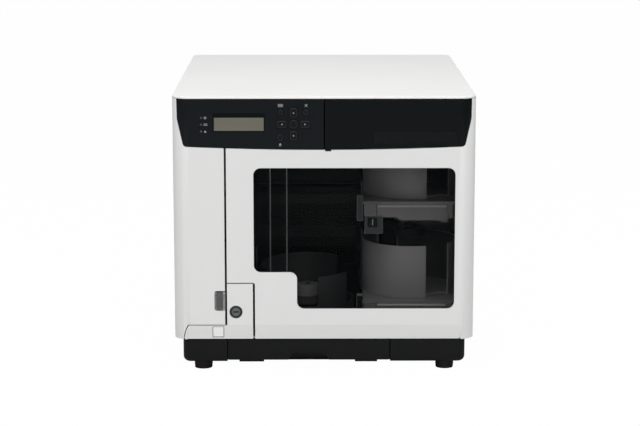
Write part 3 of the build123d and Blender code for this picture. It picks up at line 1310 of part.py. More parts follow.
for label, level in DRIVE_LEVELS.items():
    lip_low = TRAY_LIPS[label]
    plate_low = lip_low + 3.0
    drive_mid = (DRIVE_X, level + DRIVE_HEIGHT / 2)
    with BuildPart() as drive:
        with BuildSketch(facing(DRIVE_SET + BEZEL)):
            with Locations(drive_mid):
                Rectangle(DRIVE_WIDTH - 1, DRIVE_HEIGHT - 0.4)
        extrude(amount=-(DRIVE_DEPTH - BEZEL))
        with BuildSketch(facing(DRIVE_SET)):
            with Locations(drive_mid):
                RectangleRounded(DRIVE_WIDTH, DRIVE_HEIGHT, 1)
        extrude(amount=-BEZEL)
        # tray slot
        with BuildSketch(facing(DRIVE_SET - 1)):
            with Locations((DRIVE_X, plate_low + TRAY_PLATE / 2)):
                Rectangle(TRAY_WIDTH + 2 * SLOT_CLEAR, TRAY_PLATE + 4 * SLOT_CLEAR)
        extrude(amount=-(DRIVE_DEPTH - 10), mode=Mode.SUBTRACT)
        # rail in the slot that holds the tray level
        with BuildSketch(facing(DRIVE_SET + BEZEL)):
            with Locations((DRIVE_X, plate_low - SLOT_CLEAR - SLIP / 2)):
                Rectangle(TRAY_WIDTH - 10, 2 * SLOT_CLEAR - SLIP)
        extrude(amount=-30)
        # eject key on the bezel
        with BuildSketch(facing(DRIVE_SET)):
            with Locations((DRIVE_X + 56, level + 6.5)):
                Rectangle(EJECT_KEY[0], EJECT_KEY[1])
        extrude(amount=EJECT_KEY[2])
    finish(drive, label)

    with BuildPart() as tray:
        lip_set = DRIVE_SET - LIP_THICK - SLIP
        tray_plate(lip_set, lip_low, (TRAY_WIDTH + 4, LIP_HEIGHT), plate_low, TRAY_WIDTH)
        # opening over the spindle and the lens
        with BuildSketch(Plane.XY.offset(plate_low - 1)):
            with Locations((DRIVE_X, STATION_B[1] + TRAY_TRAVEL + 14)):
                SlotCenterToCenter(*TRAY_SLOT, rotation=90)
        extrude(amount=TRAY_PLATE + 2, mode=Mode.SUBTRACT)
    finish(tray, f"{label}_tray")

CAGE_SHEET = 1.6
CAGE_FRONT = FRONT + DRIVE_SET + 12.0
CAGE_BACK = FRONT + DRIVE_SET + DRIVE_DEPTH - 2.0
CAGE_HOLE = (70.0, 100.0)
CAGE_WINDOW = (110.0, 44.0, 5.0)
with BuildPart() as drive_cage:
    cage_half = DRIVE_WIDTH / 2 + SLIP
    cage_top = PRINTER_FLOOR - SLIP
    cage_mid_y = (CAGE_FRONT + CAGE_BACK) / 2
    for side in (-1, 1):
        with BuildSketch(Plane.XY.offset(LINER_FLOOR)):
            with Locations((DRIVE_X + side * (cage_half + CAGE_SHEET / 2), cage_mid_y)):
                Rectangle(CAGE_SHEET, CAGE_BACK - CAGE_FRONT)
        extrude(amount=cage_top - LINER_FLOOR)
    for level in (DRIVE_LOW - SLIP - CAGE_SHEET, cage_top - CAGE_SHEET):
        with BuildSketch(Plane.XY.offset(level)):
            with Locations((DRIVE_X, cage_mid_y)):
                Rectangle(2 * (cage_half + CAGE_SHEET), CAGE_BACK - CAGE_FRONT)
                Rectangle(*CAGE_HOLE, mode=Mode.SUBTRACT)
        extrude(amount=CAGE_SHEET)
    # window in each side, for weight
    with BuildSketch(Plane.YZ.offset(DRIVE_X - cage_half - CAGE_SHEET - 1)):
        with Locations((cage_mid_y, (LINER_FLOOR + DRIVE_LOW) / 2 - 1)):
            RectangleRounded(*CAGE_WINDOW)
    extrude(amount=2 * (cage_half + CAGE_SHEET) + 2, mode=Mode.SUBTRACT)
finish(drive_cage, "drive_cage")

# ================================================================== printer
PRINTER_SHEET = 2.0
PRINTER_FRONT = DRIVE_SET + 2.0
PRINTER_DEPTH = DRIVE_DEPTH
PRINTER_TOP = 276.0
PRINTER_HALF = DRIVE_WIDTH / 2
PRINTER_TRAY_WIDTH = TRAY_WIDTH + 6.0
LEDGE = (12.0, 3.4)
SKIRT_TALL = 24.0         # front strips of the frame, under and over its mouth
BROW_TALL = 10.0
RAIL_RADIUS = 4.0
RAIL_FIT = 0.02
RAIL_Z = 262.0
RAIL_DEPTHS = (PRINTER_FRONT + 56.0, PRINTER_FRONT + 96.0)
with BuildPart() as printer_frame:
    printer_mid = (DRIVE_X, FRONT + PRINTER_FRONT + PRINTER_DEPTH / 2)
    with BuildSketch(Plane.XY.offset(PRINTER_FLOOR)):
        with Locations(printer_mid):
            Rectangle(2 * PRINTER_HALF, PRINTER_DEPTH)
    extrude(amount=PRINTER_TOP - PRINTER_FLOOR)
    with BuildSketch(Plane.XY.offset(PRINTER_FLOOR + PRINTER_SHEET)):
        with Locations((printer_mid[0], printer_mid[1] - PRINTER_SHEET)):
            Rectangle(2 * (PRINTER_HALF - PRINTER_SHEET), PRINTER_DEPTH)
    extrude(amount=PRINTER_TOP, mode=Mode.SUBTRACT)
    for depth in RAIL_DEPTHS:
        with BuildSketch(Plane.YZ.offset(DRIVE_X - PRINTER_HALF - 1)):
            with Locations((FRONT + depth, RAIL_Z)):
                Circle(RAIL_RADIUS)
        extrude(amount=2 * PRINTER_HALF + 2, mode=Mode.SUBTRACT)
    # ledges that guide the tray
    with BuildSketch(facing(PRINTER_FRONT)):
        with Locations((DRIVE_X, PRINTER_TRAY_LOW - SLIP - LEDGE[1] / 2)):
            with GridLocations(PRINTER_TRAY_WIDTH + 1, 0, 2, 1):
                Rectangle(*LEDGE)
    extrude(amount=-(PRINTER_DEPTH - 20))
    # front strips below and above the tray mouth
    with BuildSketch(facing(PRINTER_FRONT)):
        with Locations((DRIVE_X, PRINTER_FLOOR + 3 + SKIRT_TALL / 2)):
            Rectangle(2 * PRINTER_HALF, SKIRT_TALL)
        with Locations((DRIVE_X, PRINTER_TOP - BROW_TALL / 2)):
            Rectangle(2 * PRINTER_HALF, BROW_TALL)
    extrude(amount=-PRINTER_SHEET)
finish(printer_frame, "printer_frame")

with BuildPart() as carriage_rails:
    for depth in RAIL_DEPTHS:
        with BuildSketch(Plane.YZ.offset(DRIVE_X - PRINTER_HALF)):
            with Locations((FRONT + depth, RAIL_Z)):
                Circle(RAIL_RADIUS - RAIL_FIT)
        extrude(amount=2 * PRINTER_HALF)
finish(carriage_rails, "carriage_rails")

CARRIAGE_WIDTH = 44.0
CARRIAGE_BODY = (62.0, 26.0)
CARRIAGE_HEAD = (30.0, 8.0)
CARRIAGE_LOW = RAIL_Z - 16.0
with BuildPart() as print_carriage:
    with BuildSketch(Plane.YZ.offset(DRIVE_X - CARRIAGE_WIDTH / 2)):
        rails_mid = FRONT + sum(RAIL_DEPTHS) / 2
        with Locations((rails_mid, CARRIAGE_LOW + CARRIAGE_BODY[1] / 2)):
            Rectangle(*CARRIAGE_BODY)
        with Locations((rails_mid - 10, CARRIAGE_LOW - 1)):
            Rectangle(*CARRIAGE_HEAD)
        for depth in RAIL_DEPTHS:
            with Locations((FRONT + depth, RAIL_Z)):
                Circle(RAIL_RADIUS + RUN - RAIL_FIT, mode=Mode.SUBTRACT)
    extrude(amount=CARRIAGE_WIDTH)
finish(print_carriage, "print_carriage")

PRINTER_LIP = (PRINTER_TRAY_WIDTH, 10.0)
SPIGOT = (7.2, 1.4)       # radius and height of the boss in a disc's hole
with BuildPart() as printer_tray:
    lip_set = PRINTER_FRONT - LIP_THICK - SLIP
    tray_plate(
        lip_set, PRINTER_TRAY_LOW - 1.5, PRINTER_LIP, PRINTER_TRAY_LOW, PRINTER_TRAY_WIDTH
    )
    with BuildSketch(Plane.XY.offset(PRINTER_TRAY_LOW + SEAT_LEVEL)):
        with Locations((DRIVE_X, STATION_B[1] + TRAY_TRAVEL)):
            Circle(SPIGOT[0])
    extrude(amount=SPIGOT[1])
finish(printer_tray, "printer_tray")

# ================================================================ disc arm
MAST_RADIUS = 17.0
MAST_BASE_LOW = LINER_FLOOR + SLIP
MAST_BASE_TALL = 14.0
MAST_TOP_LOW = 268.0
MAST_TOP_HIGH = LINER_CEILING - SLIP
ROD_RADIUS = 4.0
ROD_OFFSET = 10.0
SCREW_RADIUS = 3.2
SCREW_ROOT = 2.4
SCREW_PITCH = 12.0
RIDGE = 2.4
SCREW_SEAT = 4.0          # blind depth below the screw in the mast's foot
ARM_LOW = 151.0
ARM_THICK = 10.0
ARM_REACH = hypot(STATION_A[0] - PIVOT[0], STATION_A[1] - PIVOT[1])
COLLAR_LOW = 143.0
COLLAR_TALL = 30.0
COLLAR_WIDTH = 20.0
HEAD_RADIUS = 20.5
HEAD_BORE = 12.0
ARM_ROOT = 9.0            # half widths of the arm at the mast and at its head
ARM_TIP = 6.0
CHANNEL = (52.0, 7.0)
NOSE_RADIUS = 7.2
NOSE_LOW = 147.8
CLAW = (2.4, 4.0, 1.6)
CAP_RADIUS = 9.0
CAP_TALL = 5.0


def arm_frame(level):
    """Plane at the mast, turned so that its x axis points along the arm."""
    along = (STATION_A[0] - PIVOT[0], STATION_A[1] - PIVOT[1], 0)
    return Plane(origin=(PIVOT[0], PIVOT[1], level), x_dir=along, z_dir=(0, 0, 1))


with BuildPart() as arm_mast:
    with BuildSketch(arm_frame(MAST_BASE_LOW)):
        Circle(MAST_RADIUS)
    extrude(amount=MAST_BASE_TALL)
    with BuildSketch(arm_frame(MAST_TOP_LOW)):
        Circle(MAST_RADIUS)
    extrude(amount=MAST_TOP_HIGH - MAST_TOP_LOW)
    with BuildSketch(arm_frame(MAST_BASE_LOW)):
        with Locations((0, ROD_OFFSET), (0, -ROD_OFFSET)):
            Circle(ROD_RADIUS)
    extrude(amount=MAST_TOP_HIGH - MAST_BASE_LOW)
    # running seats of the lift screw
    with BuildSketch(arm_frame(MAST_BASE_LOW + SCREW_SEAT)):
        Circle(SCREW_RADIUS + RUN)
    extrude(amount=MAST_TOP_HIGH - MAST_BASE_LOW - SCREW_SEAT - 2, mode=Mode.SUBTRACT)
finish(arm_mast, "arm_mast")

with BuildPart() as lift_screw:
    screw_low = MAST_BASE_LOW + SCREW_SEAT + SLIP
    screw_high = MAST_TOP_LOW + 6
    with BuildSketch(arm_frame(screw_low)):
        Circle(SCREW_ROOT)
    extrude(amount=screw_high - screw_low)
    for low, tall in ((screw_low, MAST_BASE_TALL - SCREW_SEAT), (screw_high - 10, 10)):
        with BuildSketch(arm_frame(low)):
            Circle(SCREW_RADIUS)
        extrude(amount=tall)
    # flat ridges stand for the thread between its plain ends
    thread_low = MAST_BASE_LOW + MAST_BASE_TALL + 6
    ridges = int((MAST_TOP_LOW - 8 - thread_low) / SCREW_PITCH)
    for ridge in range(ridges):
        with BuildSketch(arm_frame(thread_low + SCREW_PITCH * ridge)):
            Circle(SCREW_RADIUS)
        extrude(amount=RIDGE)
finish(lift_screw, "lift_screw")

with BuildPart() as arm_carriage:
    with BuildSketch(arm_frame(COLLAR_LOW)):
        RectangleRounded(COLLAR_WIDTH, 2 * ROD_OFFSET + 11, 4)
        with Locations((0, ROD_OFFSET), (0, -ROD_OFFSET)):
            Circle(ROD_RADIUS + RUN, mode=Mode.SUBTRACT)
        Circle(SCREW_RADIUS + RUN, mode=Mode.SUBTRACT)
    extrude(amount=COLLAR_TALL)
    # tapered arm out to the picker, with a lightening channel on top
    with BuildSketch(arm_frame(ARM_LOW)):
        with BuildLine():
            arm_start = COLLAR_WIDTH / 2 - 1
            arm_end = ARM_REACH - HEAD_RADIUS + 3
            Polyline(
                (arm_start, ARM_ROOT),
                (arm_end, ARM_TIP),
                (arm_end, -ARM_TIP),
                (arm_start, -ARM_ROOT),
                close=True,
            )
        make_face()
    extrude(amount=ARM_THICK)
    with BuildSketch(arm_frame(ARM_LOW + 3)):
        with Locations(((arm_start + arm_end) / 2, 0)):
            SlotOverall(*CHANNEL)
    extrude(amount=ARM_THICK, mode=Mode.SUBTRACT)
    # ring that holds the picker head
    with BuildSketch(arm_frame(ARM_LOW)):
        with Locations((ARM_REACH, 0)):
            Circle(HEAD_RADIUS)
            Circle(HEAD_BORE, mode=Mode.SUBTRACT)
    extrude(amount=ARM_THICK)
finish(arm_carriage, "arm_carriage")

with BuildPart() as disc_picker:
    with BuildSketch(arm_frame(ARM_LOW - 1)):
        with Locations((ARM_REACH, 0)):
            Circle(HEAD_BORE - 0.1)
    extrude(amount=ARM_THICK + 1)
    with BuildSketch(arm_frame(NOSE_LOW)):
        with Locations((ARM_REACH, 0)):
            Circle(NOSE_RADIUS)
    extrude(amount=ARM_LOW - NOSE_LOW)
    # three claws that spread in the disc's hole
    with BuildSketch(arm_frame(NOSE_LOW)):
        with Locations((ARM_REACH, 0)):
            with PolarLocations(NOSE_RADIUS, 3):
                Rectangle(CLAW[0], CLAW[1])
    extrude(amount=CLAW[2])
    with BuildSketch(arm_frame(ARM_LOW + ARM_THICK)):
        with Locations((ARM_REACH, 0)):
            Circle(CAP_RADIUS)
    extrude(amount=CAP_TALL)
    chamfer(disc_picker.faces().sort_by(Axis.Z)[-1].edges(), length=1.5)
finish(disc_picker, "disc_picker")

MOTOR_SPOT = (PIVOT[0] + 48.0, PIVOT[1] + 53.0 * INNER_DEPTH)
MOTOR_SIZE = 42.0
MOTOR_LOW = 60.0
MOTOR_TALL = 34.0
MOTOR_POSTS = 31.0
POST = 3.0
SHAFT_RADIUS = 2.5
PULLEY_RADIUS = 8.0
BELT_LOW = MAST_BASE_LOW + 3.0
BELT_TALL = 6.0
BELT_THICK = 1.4
with BuildPart() as swing_motor:
    with BuildSketch(Plane.XY.offset(MOTOR_LOW)):
        with Locations(MOTOR_SPOT):
            RectangleRounded(MOTOR_SIZE, MOTOR_SIZE, 4)
    extrude(amount=MOTOR_TALL)
    # four posts stand the motor on the bay floor
    with BuildSketch(Plane.XY.offset(LINER_FLOOR)):
        with Locations(MOTOR_SPOT):
            with GridLocations(MOTOR_POSTS, MOTOR_POSTS, 2, 2):
                Circle(POST)
    extrude(amount=MOTOR_LOW - LINER_FLOOR)
finish(swing_motor, "swing_motor")

with BuildPart() as motor_pulley:
    with BuildSketch(Plane.XY.offset(BELT_LOW - 1)):
        with Locations(MOTOR_SPOT):
            Circle(PULLEY_RADIUS)
    extrude(amount=BELT_TALL + 2)
    with BuildSketch(Plane.XY.offset(BELT_LOW + BELT_TALL + 1)):
        with Locations(MOTOR_SPOT):
            Circle(SHAFT_RADIUS)
    extrude(amount=MOTOR_LOW - BELT_LOW - BELT_TALL - 1 - SLIP)
finish(motor_pulley, "motor_pulley")

belt_span = hypot(MOTOR_SPOT[0] - PIVOT[0], MOTOR_SPOT[1] - PIVOT[1])
belt_along = (MOTOR_SPOT[0] - PIVOT[0], MOTOR_SPOT[1] - PIVOT[1], 0)


def belt_loop(grow):
    """Loop round the mast foot and the motor pulley, grown all round."""
    big = MAST_RADIUS + SLIP + grow
    small = PULLEY_RADIUS + SLIP + grow
    lean = (big - small) / belt_span
    rise = (1 - lean * lean) ** 0.5
    with BuildSketch() as loop:
        Circle(big)
        with Locations((belt_span, 0)):
            Circle(small)
        with BuildLine():
            Polyline(
                (big * lean, big * rise),
                (belt_span + small * lean, small * rise),
                (belt_span + small * lean, -small * rise),
                (big * lean, -big * rise),
                close=True,
            )
        make_face()
    return loop.sketch


with BuildPart() as swing_belt:
    belt_plane = Plane(origin=(PIVOT[0], PIVOT[1], BELT_LOW), x_dir=belt_along, z_dir=(0, 0, 1))
    with BuildSketch(belt_plane):
        add(belt_loop(BELT_THICK))
        add(belt_loop(0), mode=Mode.SUBTRACT)
    extrude(amount=BELT_TALL)
finish(swing_belt, "swing_belt")

# ============================================================== ink supply
INK_LEFT = -SIDE + 6.5
INK_RIGHT = LINER_LEFT - 2.0
INK_FRONT = FRONT + 50.0
INK_BACK = FRONT + 230.0 * INNER_DEPTH
INK_REAR_WALL = 12.0
INK_LOW = 66.0
INK_PITCH = 31.0
INK_SLOTS = 6
INK_SHEET = 2.0
CARTRIDGE_HEIGHT = 24.0
CARTRIDGE_SET = 4.0
INK_LEG = (10.0, 24.0)
with BuildPart() as ink_bay:
    ink_mid_x = (INK_LEFT + INK_RIGHT) / 2
    ink_width = INK_RIGHT - INK_LEFT
    ink_depth = INK_BACK - INK_FRONT
    ink_top = INK_LOW + INK_PITCH * INK_SLOTS + INK_SHEET
    with BuildSketch(Plane.XY.offset(INK_LOW)):
        with Locations((ink_mid_x, (INK_FRONT + INK_BACK) / 2)):
            Rectangle(ink_width, ink_depth)
    extrude(amount=ink_top - INK_LOW)
    for slot in range(INK_SLOTS):
        with BuildSketch(Plane.XY.offset(INK_LOW + INK_SHEET + slot * INK_PITCH)):
            with Locations((ink_mid_x, (INK_FRONT + INK_BACK) / 2 - INK_REAR_WALL)):
                Rectangle(ink_width - 2 * INK_SHEET, ink_depth)
        extrude(amount=INK_PITCH - INK_SHEET, mode=Mode.SUBTRACT)
    # legs that stand the bay on the deck
    with BuildSketch(Plane.XY.offset(DECK_TOP)):
        with Locations((ink_mid_x, (INK_FRONT + INK_BACK) / 2)):
            with GridLocations(ink_width - 15, ink_depth - 30, 2, 2):
                Rectangle(*INK_LEG)
    extrude(amount=INK_LOW - DECK_TOP)
finish(ink_bay, "ink_bay")

with BuildPart() as ink_cartridges:
    cartridge_depth = ink_depth - INK_REAR_WALL - 3 * CARTRIDGE_SET
    for slot in range(INK_SLOTS):
        low = INK_LOW + INK_SHEET + SLIP + slot * INK_PITCH
        with BuildSketch(Plane.XY.offset(low)):
            with Locations((ink_mid_x, INK_FRONT + CARTRIDGE_SET + cartridge_depth / 2)):
                Rectangle(ink_width - 2 * INK_SHEET - 2, cartridge_depth)
            # pull grip
            with Locations((ink_mid_x, INK_FRONT + 1)):
                Rectangle(ink_width / 2, 8)
        extrude(amount=CARTRIDGE_HEIGHT)
        with BuildSketch(Plane.YZ.offset(INK_LEFT)):
            with Locations((INK_FRONT - 3, low + CARTRIDGE_HEIGHT / 2)):
                Rectangle(6, CARTRIDGE_HEIGHT - 12)
        extrude(amount=ink_width, mode=Mode.SUBTRACT)
finish(ink_cartridges, "ink_cartridges")

# ============================================================== electronics
SUPPLY_LEFT = -SIDE + 10.5
SUPPLY_RIGHT = LINER_LEFT - 7.0
SUPPLY_DEPTH = 110.0
SUPPLY_BACK = BACK - 39.5
SUPPLY_TALL = 62.0
SUPPLY_SLOTS = 9
with BuildPart() as power_supply:
    supply_mid = ((SUPPLY_LEFT + SUPPLY_RIGHT) / 2, SUPPLY_BACK - SUPPLY_DEPTH / 2)
    supply_width = SUPPLY_RIGHT - SUPPLY_LEFT
    with BuildSketch(Plane.XY.offset(DECK_TOP)):
        with Locations(supply_mid):
            Rectangle(supply_width, SUPPLY_DEPTH)
    extrude(amount=SUPPLY_TALL)
    # cooling slots in its lid
    with BuildSketch(Plane.XY.offset(DECK_TOP + SUPPLY_TALL - 1)):
        with Locations(supply_mid):
            with GridLocations(0, 9, 1, SUPPLY_SLOTS):
                SlotOverall(0.7 * supply_width, 3.4)
    extrude(amount=2, mode=Mode.SUBTRACT)
finish(power_supply, "power_supply")

MAIN_SIZE = (LINER_RIGHT - LINER_LEFT - 57.5, 170.0)
MAIN_SPOT = (LINER_MID - 19.75, 40.0)
MAIN_STAND = 6.0
CHIP_TALL = 4.0
PROCESSOR = 34.0
MEMORY = (20.0, 28.0)
CONNECTOR = (120.0, 8.0)
with BuildPart() as main_board:
    with BuildSketch(Plane.XY.offset(LINER_TOP + MAIN_STAND)):
        with Locations(MAIN_SPOT):
            Rectangle(*MAIN_SIZE)
    extrude(amount=BOARD_SHEET)
    with BuildSketch(Plane.XY.offset(LINER_TOP)):
        with Locations(MAIN_SPOT):
            with GridLocations(MAIN_SIZE[0] - 16, MAIN_SIZE[1] - 16, 2, 2):
                Circle(3)
    extrude(amount=MAIN_STAND)
    # processor, two memory blocks and the edge connector
    with BuildSketch(Plane.XY.offset(LINER_TOP + MAIN_STAND + BOARD_SHEET)):
        with Locations((MAIN_SPOT[0] - 50, MAIN_SPOT[1])):
            Rectangle(PROCESSOR, PROCESSOR)
        with Locations((MAIN_SPOT[0] + 40, MAIN_SPOT[1])):
            with GridLocations(0, 80, 1, 2):
                Rectangle(*MEMORY)
        with Locations((MAIN_SPOT[0], MAIN_SPOT[1] - 78)):
            Rectangle(*CONNECTOR)
    extrude(amount=CHIP_TALL)
finish(main_board, "main_board")
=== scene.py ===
"""Looks of a desktop disc label printer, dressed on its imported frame.

The frame gives every rigid piece at its real place.  This script gives each
of them a finish, adds the small pieces that only the eye needs, and sets up a
plain studio with the camera at the photograph's angle.  Lengths are metres.
"""

import logging
from dataclasses import dataclass
from enum import Enum
from functools import cache
from math import cos, hypot, pi, radians, sin, tau

import bmesh
import bpy
import numpy as np
from mathutils import Matrix, Vector


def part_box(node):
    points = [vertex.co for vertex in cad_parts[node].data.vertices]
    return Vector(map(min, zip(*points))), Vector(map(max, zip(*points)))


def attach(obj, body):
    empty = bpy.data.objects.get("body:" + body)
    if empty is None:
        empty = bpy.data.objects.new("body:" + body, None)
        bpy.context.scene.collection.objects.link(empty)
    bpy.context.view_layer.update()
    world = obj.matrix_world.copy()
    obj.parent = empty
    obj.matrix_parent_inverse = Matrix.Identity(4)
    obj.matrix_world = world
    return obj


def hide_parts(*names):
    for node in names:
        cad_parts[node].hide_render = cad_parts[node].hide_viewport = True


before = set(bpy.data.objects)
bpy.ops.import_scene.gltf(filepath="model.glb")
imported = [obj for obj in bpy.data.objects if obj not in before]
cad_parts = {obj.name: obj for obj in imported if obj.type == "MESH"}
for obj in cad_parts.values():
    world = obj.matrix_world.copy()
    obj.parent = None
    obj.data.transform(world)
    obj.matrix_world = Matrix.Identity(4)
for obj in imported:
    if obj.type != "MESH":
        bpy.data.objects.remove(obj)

LOG = logging.getLogger("disc_printer")
MM = 0.001
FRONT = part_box("door_shell")[0][1]    # every depth of the front is told from here
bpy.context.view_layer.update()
LEFT, RIGHT = (-1.0, 0.0, 0.0), (1.0, 0.0, 0.0)
BEHIND, UP = (0.0, 1.0, 0.0), (0.0, 0.0, 1.0)
WELD_WITHIN = 0.00001    # metres under which corners of a frame node are welded
BEVEL_FROM = 35.0    # degrees at which an edge of a frame node is rounded
SHARP_FROM = 40.0    # degrees at which an edge of a new piece is drawn sharp
SAME_POINT = 1e-8    # metres under which two points of a seam are one
MIX_FIRST, MIX_SECOND, MIX_RESULT = 6, 7, 2    # colour sockets of a Mix node

Colour = tuple[float, float, float, float]
Mesh, Node = bpy.types.Mesh, bpy.types.Node
Pair = tuple[float, float]
Point = tuple[float, float, float]


# ---- shader maths
class Wire:
    """A shader socket that takes part in Python arithmetic."""

    def __init__(self, graph: "Graph", socket: bpy.types.NodeSocket) -> None:
        """Keep the graph that owns the socket, and the socket."""
        self.graph = graph
        self.socket = socket

    def _math(self, operation: str, first: object, second: object = 0.0) -> "Wire":
        """Add one Math node.

        Args:
            operation: the Math node's operation.
            first: a number or a Wire.
            second: a number or a Wire.

        Returns:
            The node's result.
        """
        node = self.graph.node("ShaderNodeMath", {"operation": operation}, {0: first, 1: second})
        return Wire(self.graph, node.outputs[0])

    def __add__(self, other: object) -> "Wire":
        """Sum."""
        return self._math("ADD", self, other)

    __radd__ = __add__

    def __sub__(self, other: object) -> "Wire":
        """Difference."""
        return self._math("SUBTRACT", self, other)

    def __rsub__(self, other: object) -> "Wire":
        """Difference, reflected."""
        return self._math("SUBTRACT", other, self)

    def __mul__(self, other: object) -> "Wire":
        """Product."""
        return self._math("MULTIPLY", self, other)

    __rmul__ = __mul__

    def clamp(self) -> "Wire":
        """The value held between 0 and 1."""
        node = self.graph.node("ShaderNodeClamp", {}, {0: self})
        return Wire(self.graph, node.outputs[0])


class Graph:
    """Builds the node tree of one material or of the world."""

    def __init__(self, owner: bpy.types.ID) -> None:
        """Take the owner's tree and empty it."""
        self.owner = owner
        owner.use_nodes = True
        self.tree = owner.node_tree
        self.tree.nodes.clear()

    def node(self, kind: str, settings: dict, inputs: dict) -> Node:
        """Add one node.

        Args:
            kind: the node's type name.
            settings: attributes that are set before the sockets.
            inputs: values, Wires or sockets by socket name or index.

        Returns:
            The new node.
        """
        made = self.tree.nodes.new(kind)
        for key, value in settings.items():
            setattr(made, key, value)
        for key, value in inputs.items():
            target = made.inputs[key]
            source = value.socket if isinstance(value, Wire) else value
            if isinstance(source, bpy.types.NodeSocket):
                self.tree.links.new(source, target)
            else:
                target.default_value = source
        return made

    def wire(self, made: Node, output: object = 0) -> Wire:
        """Wrap one output of a node."""
        return Wire(self, made.outputs[output])

    def place(self, scale: Point = (1.0, 1.0, 1.0)) -> Wire:
        """Object coordinates, stretched.

        Args:
            scale: factor on each axis.

        Returns:
            The stretched coordinates.
        """
        source = self.node("ShaderNodeTexCoord", {}, {}).outputs["Object"]
        inputs = {"Vector": source, "Scale": scale}
        return self.wire(self.node("ShaderNodeMapping", {}, inputs))

    def noise(self, place: Wire, scale: float, detail: float = 2.0) -> Wire:
        """Soft noise, between about 0.3 and 0.7.

        Args:
            place: the coordinates.
            scale: waves in a metre.
            detail: octaves.

        Returns:
            The noise value.
        """
        inputs = {"Vector": place, "Scale": scale, "Detail": detail}
        return self.wire(self.node("ShaderNodeTexNoise", {}, inputs), "Fac")

    def blend(self, factor: Wire, first: object, second: object) -> Wire:
        """Mix two colours.

        Args:
            factor: share of the second colour.
            first: a colour or a Wire.
            second: a colour or a Wire.

        Returns:
            The mixed colour.
        """
        inputs = {0: factor, MIX_FIRST: first, MIX_SECOND: second}
        return self.wire(self.node("ShaderNodeMix", {"data_type": "RGBA"}, inputs), MIX_RESULT)

    def bump(self, height: Wire, strength: float, distance: float) -> Wire:
        """Turn a height into a bent normal.

        Args:
            height: the value that rises.
            strength: share of the effect.
            distance: how far a height of 1 rises, in metres.

        Returns:
            The normal.
        """
        inputs = {"Strength": strength, "Distance": distance, "Height": height}
        return self.wire(self.node("ShaderNodeBump", {}, inputs), "Normal")

    def close(self, shader: Node, kind: str = "ShaderNodeOutputMaterial") -> None:
        """Join a shader to a new output node."""
        self.node(kind, {}, {"Surface": shader.outputs[0]})

    def cross(self, factor: Wire, first: Node, second: Node) -> Node:
        """Mix two shaders.

        Args:
            factor: share of the second shader.
            first: a shader node.
            second: a shader node.

        Returns:
            The mixing node.
        """
        inputs = {0: factor, 1: first.outputs[0], 2: second.outputs[0]}
        return self.node("ShaderNodeMixShader", {}, inputs)

    def surface(self, **inputs: object) -> bpy.types.Material:
        """Close the tree with a Principled shader.

        Args:
            **inputs: socket values, with spaces written as underscores.

        Returns:
            The finished material.
        """
        named = {key.replace("_", " "): value for key, value in inputs.items()}
        self.close(self.node("ShaderNodeBsdfPrincipled", {}, named))
        return self.owner


def rgba(*levels: float) -> Colour:
    """A linear colour with full alpha, grey when one level is given."""
    return (*(levels if len(levels) == 3 else levels * 3), 1.0)


def tinted(colour: Colour, factor: float) -> Colour:
    """A colour whose levels are all scaled by a factor."""
    return (*(min(level * factor, 1.0) for level in colour[:3]), 1.0)


# ---- finishes
@dataclass(frozen=True)
class Finish:
    """What every finish has.

    Attributes:
        name: material name.
        colour: linear base colour.
    """

    name: str
    colour: Colour

    def graph(self) -> Graph:
        """Graph of a new material of this name."""
        return Graph(bpy.data.materials.new(self.name))


@dataclass(frozen=True)
class Moulded(Finish):
    """A moulded plastic with fine spark grain and faint mottling.

    Attributes:
        rough: mean roughness.
        grain: size of the surface grain in metres.
        depth: height of the grain in metres.
        mottle: share by which the colour varies.
        shine: specular level of the bare surface.
    """

    rough: float = 0.45
    grain: float = 0.0006
    depth: float = 0.00001
    mottle: float = 0.04
    shine: float = 0.5

    def build(self) -> bpy.types.Material:
        """Make the material."""
        graph = self.graph()
        place = graph.place()
        fine = graph.noise(place, scale=1.0 / self.grain, detail=1.0)
        cloud = graph.noise(place, scale=9.0, detail=3.0)
        streak = graph.noise(graph.place((1.0, 1.0, 0.15)), scale=60.0)
        mix = (cloud * 0.7 + streak * 0.3).clamp()
        dark = tinted(self.colour, 1.0 - self.mottle)
        colour = graph.blend(mix, dark, tinted(self.colour, 1.0 + self.mottle))
        rough = (fine - 0.5) * 0.12 + (cloud - 0.5) * 0.10 + self.rough
        return graph.surface(
            Base_Color=colour,
            Roughness=rough.clamp(),
            Specular_IOR_Level=self.shine,
            Normal=graph.bump(fine, strength=0.35, distance=self.depth),
        )


@dataclass(frozen=True)
class Metal(Finish):
    """A metal with fine drawn or cast texture.

    Attributes:
        rough: mean roughness.
        stretch: scale of the brushing on each axis.
        depth: height of the brushing in metres.
    """

    rough: float = 0.32
    stretch: Point = (4.0, 4.0, 600.0)
    depth: float = 0.00001

    def build(self) -> bpy.types.Material:
        """Make the material."""
        graph = self.graph()
        brush = graph.noise(graph.place(self.stretch), scale=1.0, detail=3.0)
        stain = graph.noise(graph.place(), scale=24.0, detail=3.0)
        colour = graph.blend(stain, tinted(self.colour, 0.86), self.colour)
        rough = (brush - 0.5) * 0.2 + (stain - 0.5) * 0.15 + self.rough
        return graph.surface(
            Base_Color=colour,
            Metallic=1.0,
            Roughness=rough.clamp(),
            Normal=graph.bump(brush, strength=0.3, distance=self.depth),
        )


@dataclass(frozen=True)
class Pane(Finish):
    """Smoked clear plastic.

    Attributes:
        alpha: how much of what lies behind is hidden.
        rough: mean roughness.
        shine: specular level.
    """

    alpha: float
    rough: float = 0.04
    shine: float = 0.08

    def build(self) -> bpy.types.Material:
        """Make the material."""
        graph = self.graph()
        haze = graph.noise(graph.place(), scale=30.0)
        rough = (haze - 0.5) * 0.03 + self.rough
        return graph.surface(
            Base_Color=graph.blend(haze, self.colour, tinted(self.colour, 1.2)),
            Roughness=rough.clamp(),
            Alpha=self.alpha,
            Specular_IOR_Level=self.shine,
        )


